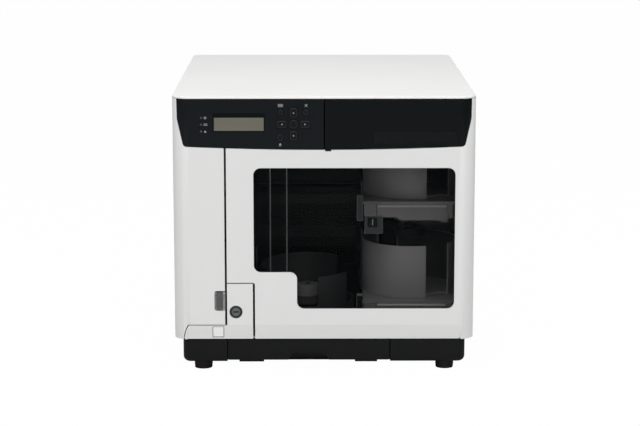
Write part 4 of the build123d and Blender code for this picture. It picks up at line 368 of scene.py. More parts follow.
@dataclass(frozen=True)
class Circuit(Finish):
    """Green circuit board with paler traces.

    Attributes:
        trace: linear colour of the traces.
    """

    trace: Colour = rgba(0.10, 0.26, 0.12)

    def build(self) -> bpy.types.Material:
        """Make the material."""
        graph = self.graph()
        cells = graph.node(
            "ShaderNodeTexVoronoi",
            {"distance": "MANHATTAN", "feature": "DISTANCE_TO_EDGE"},
            {"Vector": graph.place(), "Scale": 190.0},
        )
        mask = ((0.16 - graph.wire(cells, "Distance")) * 8.0).clamp()
        return graph.surface(
            Base_Color=graph.blend(mask, self.colour, self.trace),
            Roughness=0.42 - mask * 0.12,
            Normal=graph.bump(mask, strength=0.4, distance=0.00003),
        )


@dataclass(frozen=True)
class Display(Finish):
    """Unlit liquid-crystal panel: grey-green with a fine cell grid."""

    def build(self) -> bpy.types.Material:
        """Make the material."""
        graph = self.graph()
        place = graph.place()
        grid = graph.node(
            "ShaderNodeTexBrick",
            {"offset": 0.0},
            {"Vector": place, "Scale": 260.0, "Mortar Size": 0.03},
        )
        cloud = graph.noise(place, scale=20.0)
        panel = graph.blend(cloud, self.colour, tinted(self.colour, 1.12))
        colour = graph.blend(graph.wire(grid, "Fac") * 0.06, panel, rgba(0.03))
        return graph.surface(Base_Color=colour, Roughness=0.28, Coat_Weight=0.3)


class Look(Enum):
    """Every finish on the machine, with its values in its class's order."""

    CASE = Moulded("case_white", rgba(0.83, 0.835, 0.825), 0.46, 0.0007, 0.000015, 0.012, 0.35)
    # whiter than the case: painted highlight of the light that the power key's face catches
    POWER = Moulded("power_key_painted_highlight", rgba(0.97, 0.97, 0.96), 0.35, mottle=0.01)
    BASE = Moulded("base_black", rgba(0.0085, 0.0095, 0.009), 0.5, 0.0008, 0.00003, 0.1, 0.1)
    FASCIA = Moulded(
        "fascia_black", rgba(0.008, 0.0102, 0.0118), 0.24, 0.0009, 0.000004, 0.06, 0.11
    )
    FASCIA_DARK = Moulded(
        "fascia_dark", rgba(0.0048, 0.0066, 0.0072), 0.24, 0.0009, 0.000004, 0.06, 0.10
    )
    GLOSS = Moulded("slot_black", rgba(0.004, 0.0055, 0.006), 0.1, 0.0009, 0.000002, 0.04, 0.1)
    KEYS = Moulded("key_rubber", rgba(0.005, 0.0052, 0.0055), 0.3, 0.0005, 0.00001, 0.06, 0.18)
    # pale band on the keys: painted highlight of their edges
    EDGE = Moulded("key_edge_highlight", rgba(0.04, 0.043, 0.045), 0.4, 0.0005, 0.00001, 0.05, 0.2)
    LENS = Moulded("lens_grey", rgba(0.06, 0.063, 0.063), 0.18, 0.0006, 0.000002, 0.03)
    CUP = Moulded("cup_grey", rgba(0.62, 0.6, 0.605), 0.36, mottle=0.05)
    CUP_DARK = Moulded("cup_dark", rgba(0.1, 0.104, 0.108), 0.34, mottle=0.06)
    HUB = Moulded("hub_grey", rgba(0.93, 0.91, 0.9), 0.4, mottle=0.05)
    SHELF = Moulded("shelf_grey", rgba(0.45, 0.435, 0.435), 0.38, 0.0006, 0.00002, 0.06)
    # pale shelf bead: painted highlight along the apron's upper edge
    SHELF_BEAD_HIGHLIGHT = Moulded("shelf_bead_highlight", rgba(0.86, 0.84, 0.84), 0.34)
    # ribs on the pane: real ribs whose pale grey is partly a painted highlight of light lines
    PANE_RIB_HIGHLIGHT = Moulded("pane_rib", rgba(0.42, 0.44, 0.45), 0.4)
    SHADE = Moulded("shelf_dark", rgba(0.115, 0.128, 0.135), 0.42, mottle=0.06)
    # dark layer inside the cups: painted shade of the cups' inner walls
    CUP_INNER_SHADE = Moulded("cup_inner_shade", rgba(0.16, 0.165, 0.17), 0.5, 0.0006, 0.00001, 0.06, 0.3)
    LINER = Moulded("liner_black", rgba(0.01, 0.015, 0.0165), 0.5, 0.0008, 0.00002, 0.12, 0.2)
    DRIVE = Moulded("drive_black", rgba(0.016, 0.02, 0.021), 0.4, 0.0006, 0.00002, 0.1, 0.3)
    TRAY = Moulded("tray_dark", rgba(0.03, 0.034, 0.036), 0.36, 0.0006, 0.00001, 0.06, 0.4)
    LATCH = Moulded("latch_grey", rgba(0.105, 0.106, 0.108), 0.34, 0.0005, 0.00001, 0.08, 0.35)
    RUBBER = Moulded("foot_rubber", rgba(0.012, 0.011, 0.01), 0.72, 0.0011, 0.00005, 0.15, 0.2)
    BELT = Moulded("belt_rubber", rgba(0.02), 0.7, 0.0007, 0.00004, 0.12)
    INK = Moulded("ink_black", rgba(0.03, 0.03, 0.033), 0.24, 0.0008, 0.000006, 0.08)
    MARK = Moulded("mark_pale", rgba(0.44, 0.45, 0.45), 0.5, 0.0008, 0.000004, 0.03)
    FIGURE = Moulded("figure_white", rgba(0.86), 0.5, 0.0008, 0.000004, 0.02)
    PAINT = Moulded("panel_paint", rgba(0.56, 0.565, 0.56), 0.5, 0.001, 0.00003, 0.03)
    STEEL = Metal("plated_steel", rgba(0.5, 0.5, 0.51), 0.36)
    ZINC = Metal("zinc_screw", rgba(0.58, 0.58, 0.57), 0.3, (200.0, 200.0, 200.0), 0.000006)
    ROD = Metal("ground_rod", rgba(0.62, 0.62, 0.63), 0.16, (4.0, 4.0, 900.0), 0.000004)
    LOCK = Metal("lock_nickel", rgba(0.05, 0.056, 0.06), 0.38, (500.0, 4.0, 500.0), 0.000006)
    LOCK_FACE = Metal("lock_face", rgba(0.18, 0.19, 0.195), 0.42, (600.0, 600.0, 4.0), 0.000006)
    CAST = Metal("cast_alloy", rgba(0.48, 0.48, 0.49), 0.42, (300.0, 300.0, 300.0), 0.00002)
    WINDOW = Pane("smoked_window", rgba(0.0012, 0.0022, 0.0026), 0.31)
    SLOT = Pane("fascia_slot", rgba(0.01, 0.0115, 0.0125), 0.75, 0.1)
    BOARD = Circuit("circuit_board", rgba(0.015, 0.085, 0.035))
    LCD = Display("display_grey", rgba(0.14, 0.134, 0.1))


@cache
def material(look: Look) -> bpy.types.Material:
    """The material of a look, made once."""
    return look.value.build()


# ---- meshes
def rounded_outline(width: float, height: float, radius: float, steps: int = 6) -> np.ndarray:
    """Rectangle with quarter-circle corners, counter-clockwise.

    Each corner's points are its centre plus the radius times cosine and sine
    of angles that run over a quarter turn.

    Args:
        width: full width.
        height: full height.
        radius: corner radius.
        steps: points on each quarter.

    Returns:
        Array of (n, 2) points.
    """
    turn = np.linspace(0.0, pi / 2, steps)
    corners = []
    for index, (sx, sy) in enumerate(((1, 1), (-1, 1), (-1, -1), (1, -1))):
        angle = turn + index * pi / 2
        centre = np.array([sx * (width / 2 - radius), sy * (height / 2 - radius)])
        corners.append(centre + radius * np.stack([np.cos(angle), np.sin(angle)], 1))
    return np.concatenate(corners)


def circle_outline(radius: float, count: int = 32) -> np.ndarray:
    """Circle as (n, 2) points, counter-clockwise."""
    angle = np.linspace(0.0, tau, count, endpoint=False)
    return radius * np.stack([np.cos(angle), np.sin(angle)], 1)


def unit(rows: np.ndarray) -> np.ndarray:
    """Rows scaled to length 1."""
    return rows / (np.linalg.norm(rows, axis=1, keepdims=True) + 1e-12)


def inset(outline: np.ndarray, amount: float) -> np.ndarray:
    """Move a closed outline inwards.

    Each point moves along the normal of its mean tangent, which is the sum
    of the unit directions of its two sides.

    Args:
        outline: counter-clockwise (n, 2) points.
        amount: how far each point moves.

    Returns:
        The moved points.
    """
    ahead = unit(np.roll(outline, -1, 0) - outline)
    tangent = unit(ahead + unit(outline - np.roll(outline, 1, 0)))
    return outline + amount * np.stack([-tangent[:, 1], tangent[:, 0]], 1)


def spin(degrees: float) -> np.ndarray:
    """Matrix that turns rows of points counter-clockwise."""
    turn = radians(degrees)
    return np.array([[cos(turn), sin(turn)], [-sin(turn), cos(turn)]])


def rings_mesh(name: str, rings: np.ndarray, caps: bool = True) -> Mesh:
    """Skin a stack of closed rings.

    Ring i and ring i + 1 are joined point by point with quads, and the first
    and last rings are closed with one face each.

    Args:
        name: mesh name.
        rings: (k, n, 3) points.
        caps: close both ends.

    Returns:
        The mesh, with its faces outward when rings climb along their normal.
    """
    count, around = rings.shape[:2]
    i = np.arange(count - 1)[:, None]
    j = np.arange(around)[None, :]
    a = i * around + j
    b = i * around + (j + 1) % around
    quads = np.stack([a, b, b + around, a + around], -1).reshape(-1, 4)
    faces = [tuple(q) for q in quads.tolist()]
    if caps:
        faces.append(tuple(range(around))[::-1])
        faces.append(tuple(range((count - 1) * around, count * around)))
    mesh = bpy.data.meshes.new(name)
    mesh.from_pydata(rings.reshape(-1, 3).tolist(), [], faces)
    mesh.update()
    return mesh


@dataclass(frozen=True)
class Spot:
    """A place on the machine with two directions across and one out.

    Attributes:
        origin: the point, in metres.
        right: direction of the outline's x.
        up: direction of the outline's y.
    """

    origin: Point
    right: Point = RIGHT
    up: Point = UP

    def lift(self, outline: np.ndarray, height: float) -> np.ndarray:
        """Carry an outline to the spot.

        Args:
            outline: (n, 2) points.
            height: how far above the spot they lie.

        Returns:
            Array of (n, 3) points.
        """
        right, up = np.array(self.right), np.array(self.up)
        base = np.array(self.origin) + np.cross(right, up) * height
        return base + outline[:, :1] * right + outline[:, 1:] * up


def centre_of(node: str) -> Point:
    """Middle of a frame node's box."""
    return tuple((a + b) / 2 for a, b in zip(*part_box(node)))


def at_front(x: float, z: float, depth: float) -> Spot:
    """A spot that faces out of the front, from millimetres."""
    return Spot((x * MM, FRONT + depth * MM, z * MM))


def at_rear(x: float, y: float, z: float) -> Spot:
    """A spot that faces out of the back, from metres."""
    return Spot((x, y, z), LEFT, UP)


def on_level(x: float, y: float, z: float) -> Spot:
    """A spot that faces upward, from metres."""
    return Spot((x, y, z), RIGHT, BEHIND)


def slab(name: str, outline: np.ndarray, spot: Spot, height: float, edge: float) -> Mesh:
    """Flat piece with a rounded upper edge.

    The rim goes up straight, then turns in over a quarter circle of the edge
    radius: inset edge * (1 - cos t) at height - edge * (1 - sin t).

    Args:
        name: mesh name.
        outline: counter-clockwise (n, 2) points.
        spot: where it lies.
        height: how far it stands out.
        edge: radius of the upper edge.

    Returns:
        A closed mesh.
    """
    levels = [spot.lift(outline, 0.0)]
    for turn in np.linspace(0.0, pi / 2, 4):
        drawn = inset(outline, edge * (1.0 - cos(turn)))
        levels.append(spot.lift(drawn, height - edge * (1.0 - sin(turn))))
    return rings_mesh(name, np.stack(levels))


def band(name: str, outline: np.ndarray, width: float, spot: Spot, height: float) -> Mesh:
    """Flat frame that follows an outline.

    Four rings bound a rectangular section: the outline and the outline drawn
    in by the width, each at the foot and at the height; ring i joins ring
    (i + 1) mod 4, so the section closes on itself.

    Args:
        name: mesh name.
        outline: outer counter-clockwise (n, 2) points.
        width: breadth of the frame.
        spot: where it lies.
        height: how far it stands out.

    Returns:
        A closed mesh.
    """
    inner = inset(outline, width)
    rings = [(outline, 0.0), (outline, height), (inner, height), (inner, 0.0)]
    return hoop(name, [spot.lift(*ring) for ring in rings])


def hoop(name: str, rings: list[np.ndarray]) -> Mesh:
    """Skin rings whose last joins the first, so that the section is closed.

    Args:
        name: mesh name.
        rings: arrays of (n, 3) points.

    Returns:
        A closed mesh.
    """
    mesh = rings_mesh(name, np.stack([*rings, rings[0]]), caps=False)
    seam = bmesh.new()
    seam.from_mesh(mesh)
    bmesh.ops.remove_doubles(seam, verts=seam.verts, dist=SAME_POINT)
    seam.to_mesh(mesh)
    seam.free()
    return mesh


def turned(profile: np.ndarray, spot: Spot, count: int) -> list[np.ndarray]:
    """Sweep a profile round the spot's axis.

    A profile point (r, h) becomes the circle (r cos a, r sin a) at height h.

    Args:
        profile: (k, 2) points of radius and height.
        spot: where the axis starts.
        count: points on each circle.

    Returns:
        The k circles, as arrays of (count, 3) points.
    """
    return [spot.lift(circle_outline(radius, count), height) for radius, height in profile]


def torus(radius: float, across: float, high: float, count: int) -> np.ndarray:
    """Profile of a flattened torus: (R + a cos t, b sin t) over one turn of t.

    Args:
        radius: R, of the ring's middle line.
        across: a, half the section's breadth.
        high: b, half the section's height.
        count: points round the section.

    Returns:
        Array of (count, 2) points of radius and height.
    """
    t = np.linspace(0.0, tau, count, endpoint=False)
    return np.stack([radius + across * np.cos(t), high * np.sin(t)], 1)


def joined(name: str, meshes: list[Mesh]) -> Mesh:
    """Put several meshes into one, as separate shells.

    Args:
        name: name of the new mesh.
        meshes: the meshes, which are used up.

    Returns:
        The new mesh.
    """
    points, faces, start = [], [], 0
    for mesh in meshes:
        points.extend(tuple(v.co) for v in mesh.vertices)
        faces.extend(tuple(start + i for i in p.vertices) for p in mesh.polygons)
        start += len(mesh.vertices)
        bpy.data.meshes.remove(mesh)
    made = bpy.data.meshes.new(name)
    made.from_pydata(points, [], faces)
    made.update()
    return made


def publish(mesh: Mesh, look: Look, body: str = "root", replaced: str = "") -> None:
    """Make a piece of a mesh: object at the origin, finish and body.

    Args:
        mesh: the finished mesh, whose name becomes the piece's.
        look: its finish.
        body: the body it rides on.
        replaced: the frame node that it stands for, if any.
    """
    obj = bpy.data.objects.new(mesh.name, mesh)
    bpy.context.scene.collection.objects.link(obj)
    mesh.materials.append(material(look))
    mesh.shade_smooth()
    mesh.set_sharp_from_angle(angle=radians(SHARP_FROM))
    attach(obj, body)
    if replaced:
        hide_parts(replaced)
    LOG.info("piece %s: %d faces on %s", mesh.name, len(mesh.polygons), body)


def dress(look: Look, *names: str) -> None:
    """Give frame nodes a finish.

    Args:
        look: the finish.
        *names: the nodes.
    """
    for name in names:
        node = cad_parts[name]
        node.data.materials.clear()
        node.data.materials.append(material(look))
        LOG.info("dressed %s in %s", name, look.value.name)


def soften(width: float, *names: str) -> None:
    """Round the sharp edges of frame nodes.

    Args:
        width: width of the rounding, in metres.
        *names: the nodes.
    """
    for name in names:
        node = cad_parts[name]
        weld = node.modifiers.new("weld", "WELD")
        weld.merge_threshold = WELD_WITHIN
        bevel = node.modifiers.new("edge", "BEVEL")
        bevel.width = width
        bevel.segments = 2
        bevel.limit_method = "ANGLE"
        bevel.angle_limit = radians(BEVEL_FROM)
        bevel.harden_normals = False
        bevel.use_clamp_overlap = True


def numeral(name: str, text: str, size: float, spot: Spot, thickness: float) -> Mesh:
    """A plain number as a thin raised mesh, centred on its spot.

    Args:
        name: mesh name.
        text: the digits.
        size: font size in metres.
        spot: where it lies.
        thickness: how thick it is.

    Returns:
        The mesh.
    """
    curve = bpy.data.curves.new(name, "FONT")
    curve.body = text
    curve.size = size
    curve.extrude = thickness / 2
    curve.align_x = "CENTER"
    curve.align_y = "CENTER"
    holder = bpy.data.objects.new(name, curve)
    bpy.context.scene.collection.objects.link(holder)
    bpy.context.view_layer.update()
    mesh = bpy.data.meshes.new_from_object(holder)
    bpy.data.objects.remove(holder)
    right, up = Vector(spot.right), Vector(spot.up)
    turn = Matrix((right, up, right.cross(up))).transposed().to_4x4()
    mesh.transform(Matrix.Translation(Vector(spot.origin)) @ turn)
    mesh.name = name
    return mesh


# ---- sub-assemblies
@dataclass
class Casing:
    """White shells, doors, trim and the steel back.

    Attributes:
        edge: rounding of the shells' edges, in metres.
        key_face: width and height of the power key's face, in metres.
        lean: depth and height over which the face round the key falls back.
        lean_top: height from which it falls back, in metres.
        screw_inset: distance of the rear screws from the edges of the back.
        screw_profile: radius and height of a domed head with a sunk centre.
    """

    edge: float = 0.0006
    key_face: Pair = (0.0134, 0.0132)
    lean: Pair = (0.0035, 0.0197)
    lean_top: float = 0.0595
    screw_inset: float = 0.012
    screw_profile: tuple[Pair, ...] = (
        (0.0034, 0.0), (0.0034, 0.0005), (0.0029, 0.0013), (0.0019, 0.0018),
        (0.0011, 0.0019), (0.0009, 0.0012), (0.00005, 0.0011),
    )

    def build(self) -> None:
        """Dress the shells and add the rear fasteners and the painted shadow round the key."""
        shells = ("top_cover", "left_side_panel", "right_side_panel", "door_shell", "ink_cover")
        dress(Look.CASE, *shells, "front_trim")
        # the power key's whiter finish is a painted highlight
        dress(Look.POWER, "power_button")
        dress(Look.PAINT, "rear_panel")
        dress(Look.STEEL, "hinge_pins", "chassis_deck")
        dress(Look.LINER, "disc_bay_liner")
        dress(Look.WINDOW, "door_window")
        soften(self.edge, *shells, "front_trim", "power_button")
        self.rear_screws()
        self.key_gap_shadow()

    def key_gap_shadow(self) -> None:
        """Dark band in the gap round the power key, on the leaning face: painted shadow in the
        gap.

        The face falls back by `back` over `fall` of height, so the gasket's
        upward direction is (0, -back, fall) over its length.
        """
        back, fall = self.lean
        length = hypot(back, fall)
        sunk, gap = 0.0005, 0.0011
        x, _, z = centre_of("power_button")
        depth = FRONT + (self.lean_top - z) * back / fall + sunk
        spot = Spot((x, depth, z), RIGHT, (0.0, -back / length, fall / length))
        width, tall = (side + gap for side in self.key_face)
        outline = rounded_outline(width, tall, radius=0.0008)
        # black band painted as the shadow inside the gap round the key
        mesh = band("key_gap_shadow", outline, width=0.0005, spot=spot, height=0.0003)
        publish(mesh, Look.GLOSS)

    def rear_screws(self) -> None:
        """Domed screws in two rows on the steel back."""
        low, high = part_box("rear_panel")
        left, right = low[0] + self.screw_inset, high[0] - self.screw_inset
        heads = []
        for x in np.linspace(left, right, 4).tolist():
            for z in (low[2] + self.screw_inset, high[2] - self.screw_inset):
                rings = turned(self.screw_profile, at_rear(x, high[1], z), 20)
                heads.append(rings_mesh("screw", np.stack(rings)))
        publish(joined("rear_screws", heads), Look.ZINC)


@dataclass
class ControlPanel:
    """Fascia with display, lamps and keys, in millimetres.

    Attributes:
        display_x: left and right edge of the display.
        display_z: lower and upper edge of the display.
        surface: how far the fascia's face lies behind the casing's front.
        stroke: breadth of a printed line.
        ink: thickness of the print.
        key_line: breadth of the outline on a key.
        round_margin: what a round key's box measures over its outline.
        arrow_margin: what an arrow key's box measures over its outline.
        arrows: x, z and turn in degrees of the pointer on each arrow key.
    """

    display_x: Pair = (-136.2, -74.8)
    display_z: Pair = (305.4, 323.2)
    surface: float = 1.0
    stroke: float = 0.55
    ink: float = 0.05
    key_line: float = 0.45
    round_margin: float = 2.9
    arrow_margin: float = 2.25
    arrows: tuple[tuple[str, float, float, float], ...] = (
        ("up", -38.0, 327.8, 0.0),
        ("left", -52.2, 313.6, 90.0),
        ("down", -38.0, 299.4, 180.0),
        ("right", -23.8, 313.6, 270.0),
    )

    def build(self) -> None:
        """Dress the fascia and add the display, the key outlines painted as edge highlights, and
        marks.
        """
        keys = [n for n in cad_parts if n.startswith("button_")]
        dress(Look.FASCIA, "fascia_left")
        dress(Look.FASCIA_DARK, "fascia_right")
        dress(Look.SLOT, "fascia_window")
        dress(Look.KEYS, *keys)
        dress(Look.LENS, "status_leds")
        dress(Look.GLOSS, "lcd_module")
        dress(Look.BOARD, "control_board")
        soften(0.0005, "fascia_left", "fascia_right")
        soften(0.0003, *keys)
        self.display()
        for node in keys:
            self.outline(node)
        self.pointers()
        self.captions()

    def display(self) -> None:
        """Display glass on the module, with a dark band painted as the recess's shadow along its
        upper edge.
        """
        depth = (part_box("lcd_module")[0][1] - FRONT) / MM
        (x0, x1), (z0, z1) = self.display_x, self.display_z
        middle, width = (x0 + x1) / 2, (x1 - x0) * MM
        outline = rounded_outline(width, (z1 - z0) * MM, radius=0.0006)
        spot = at_front(middle, (z0 + z1) / 2, depth)
        glass = slab("display_glass", outline, spot, height=0.00015, edge=0.0001)
        publish(glass, Look.LCD)
        # dark band painted as the shadow that the recess's upper edge casts on the glass
        outline = rounded_outline(width, 0.0016, radius=0.0004)
        spot = at_front(middle, z1 - 0.6, depth - 0.15)
        shade = slab("display_painted_shadow", outline, spot, height=0.00008, edge=0.00004)
        publish(shade, Look.GLOSS)

    def outline(self, node: str) -> None:
        """Paler outline on the face of a key, painted as the highlight along the key's rounded
        edge.

        A key's box takes in the flange behind the panel, so the outline is
        that box less the flange and the face's bevel, and moves with the key.

        Args:
            node: the key's frame node.
        """
        low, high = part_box(node)
        x, _, z = centre_of(node)
        width, tall = high[0] - low[0], high[2] - low[2]
        if abs(width - tall) < 0.2 * MM:
            shape = circle_outline((width - self.round_margin * MM) / 2, 36)
        else:
            less = self.arrow_margin * MM
            shape = rounded_outline(width - less, tall - less, radius=0.0007)
        label = node.removeprefix("button_")
        spot = Spot((x, low[1], z))
        mesh = band(f"outline_{label}", shape, self.key_line * MM, spot, self.ink * MM)
        publish(mesh, Look.EDGE, f"key_{label}")

    def pointers(self) -> None:
        """Plain pointer marks on the four arrow keys."""
        pointer = np.array([[0.0, 1.1], [-1.0, -0.7], [1.0, -0.7]]) * MM
        for label, x, z, angle in self.arrows:
            depth = (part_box(f"button_{label}")[0][1] - FRONT) / MM
            shape, spot = pointer @ spin(angle), at_front(x, z, depth)
            mesh = slab(f"mark_{label}", shape, spot, height=0.00008, edge=0.00004)
            publish(mesh, Look.MARK, f"key_{label}")

    def printed(self, outline: np.ndarray, x: float, z: float) -> Mesh:
        """Thin printed shape on the fascia's face.

        Args:
            outline: counter-clockwise (n, 2) points, in metres.
            x: where its middle lies across.
            z: how high its middle lies.

        Returns:
            The mesh.
        """
        spot = at_front(x, z, self.surface)
        return slab("printed", outline, spot, height=self.ink * MM, edge=0.00002)

    def stripe(self, x: float, z: float, length: float, angle: float = 0.0) -> Mesh:
        """Short printed bar.

        Args:
            x: where its middle lies across.
            z: how high its middle lies.
            length: how long it is.
            angle: degrees that it is turned about its middle.

        Returns:
            The mesh.
        """
        stroke = self.stroke * MM
        shape = rounded_outline(length * MM, stroke, stroke * 0.3, steps=3)
        return self.printed(shape @ spin(angle), x, z)

    def captions(self) -> None:
        """Plain signs beside keys and lamps: bars, a cross, a triangle, a ring."""
        triangle = np.array([[0.0, 1.3], [-1.6, -1.0], [1.6, -1.0]]) * MM
        middle = at_front(-147.0, 321.7, self.surface)
        ring = band("ring", circle_outline(0.0015, 24), 0.0005, middle, self.ink * MM)
        signs = {
            "sign_menu": [self.stripe(-54.0, 337.0 + rise, 6.4) for rise in (-1.4, 0.0, 1.4)],
            "sign_cancel": [self.stripe(-22.4, 337.0, 4.4, turn) for turn in (45.0, -45.0)],
            "sign_eject": [self.printed(triangle, -54.4, 288.9), self.stripe(-54.4, 286.9, 3.2)],
            "sign_lamps": [
                ring,
                self.stripe(-146.6, 314.1, 4.6),
                self.stripe(-146.6, 312.5, 4.6),
                self.printed(triangle, -147.0, 304.6),
            ],
        }
        for name, meshes in signs.items():
            publish(joined(name, meshes), Look.MARK)


@dataclass
class FrontHardware:
    """Key lock, cover latch, base and feet, in metres.

    Attributes:
        keyway: width and height of the keyway.
        rim: radius of the lock's rim, half its breadth and half its height.
        foot: distance of a foot's middle from the sides of the feet's box.
        bead: radius of a foot's bead, half its breadth and half its height.
        bead_level: height of the beads over the floor.
    """

    keyway: Pair = (0.0052, 0.0017)
    rim: Point = (0.0044, 0.0005, 0.00022)
    foot: float = 0.0117
    bead: Point = (0.0112, 0.00045, 0.00045)
    bead_level: float = 0.0048

    def build(self) -> None:
        """Dress the hardware, finish the lock's face and bead the feet."""
        dress(Look.LOCK, "lock_barrel")
        dress(Look.LOCK_FACE, "lock_plug")
        dress(Look.LATCH, "cover_latch")
        dress(Look.BASE, "base_pan", "drawer")
        dress(Look.RUBBER, "rubber_feet")
        soften(0.0005, "drawer", "base_pan")
        soften(0.0003, "cover_latch", "lock_barrel")
        self.lock_face()
        self.foot_beads()

    def lock_face(self) -> None:
        """Raised rim on the plug, and a black keyway slab painted as the shadow inside the slot.
        """
        x, _, z = centre_of("lock_barrel")
        spot = Spot((x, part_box("lock_plug")[0][1], z))
        rim = hoop("lock_rim", turned(torus(*self.rim, count=12), spot, 48))
        publish(rim, Look.LOCK_FACE, "lock_plug_body")
        # black slab in place of a cut slot: painted shadow of the keyway
        width, tall = self.keyway
        outline = rounded_outline(width, tall, tall * 0.45)
        slot = slab("keyway", outline, spot, height=0.00006, edge=0.00002)
        publish(slot, Look.GLOSS, "lock_plug_body")

    def foot_beads(self) -> None:
        """Moulded bead round each rubber foot."""
        low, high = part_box("rubber_feet")
        profile = torus(*self.bead, count=8)
        beads = [
            hoop("bead", turned(profile, on_level(x, y, self.bead_level), 40))
            for x in (low[0] + self.foot, high[0] - self.foot)
            for y in (low[1] + self.foot, high[1] - self.foot)
        ]
        publish(joined("foot_bands", beads), Look.RUBBER)


@dataclass(frozen=True)
class ShelfFace:
    """Places on the front of one stacker shelf, in millimetres.

    Attributes:
        label: name used for its pieces.
        drop: how far it lies below the upper shelf.
        figure: number on its label block, or none.
        bead: left end, right end and height of the bead.
        strip: left, right, lower and upper edge of the dark strip.
        block: left, right, lower and upper edge of the numbered block.
        patch: middle, width and height of the patch under the number.
    """

    label: str
    drop: float
    figure: str = ""
    bead: Point = (68.0, 156.0, 202.0)
    strip: tuple[float, ...] = (42.5, 49.1, 183.5, 214.5)
    block: tuple[float, ...] = (52.4, 74.6, 167.2, 189.2)
    patch: tuple[float, ...] = (61.8, 181.1, 12.5, 12.2)

    def panel(self, name: str, edges: tuple[float, ...], depth: float, look: Look) -> None:
        """Thin rounded cover on the shelf's front.

        Args:
            name: name of the piece after the shelf's label.
            edges: left, right, lower and upper edge.
            depth: how far it lies behind the casing's front.
            look: its finish.
        """
        x0, x1, z0, z1 = edges
        shape = rounded_outline((x1 - x0) * MM, (z1 - z0) * MM, radius=0.0006)
        spot = at_front((x0 + x1) / 2, (z0 + z1) / 2 - self.drop, depth)
        mesh = slab(f"{self.label}_{name}", shape, spot, height=0.0004, edge=0.0002)
        publish(mesh, look)

    def number(self) -> None:
        """The label block with its dark patch and its number."""
        self.panel("block", self.block, 48.0, Look.SHADE)
        x, z, width, height = self.patch
        outline = rounded_outline(width * MM, height * MM, radius=0.0008)
        spot = at_front(x, z, 47.6)
        patch = slab(f"{self.label}_patch", outline, spot, height=0.0003, edge=0.0001)
        publish(patch, Look.LINER)
        spot = at_front(x, z, 47.2)
        figure = numeral(f"{self.label}_figure", self.figure, 0.011, spot, thickness=0.0002)
        publish(figure, Look.FIGURE)

    def build(self) -> None:
        """Add the bead (a painted highlight), the dark strip and, on a numbered shelf, the
        block.
        """
        # the bead's pale colour is a painted highlight line
        x0, x1, z = self.bead
        spot = at_front((x0 + x1) / 2, z - self.drop, 50.0)
        shape = rounded_outline((x1 - x0) * MM, 0.0030, radius=0.0012)
        bead = slab(f"{self.label}_bead", shape, spot, height=0.0016, edge=0.0011)
        publish(bead, Look.SHELF_BEAD_HIGHLIGHT)
        # on the lower shelf the strip is drawn nearly black: painted shade of the lower bay
        self.panel("strip", self.strip, 49.0, Look.SHADE if self.figure else Look.LINER)
        if self.figure:
            self.number()


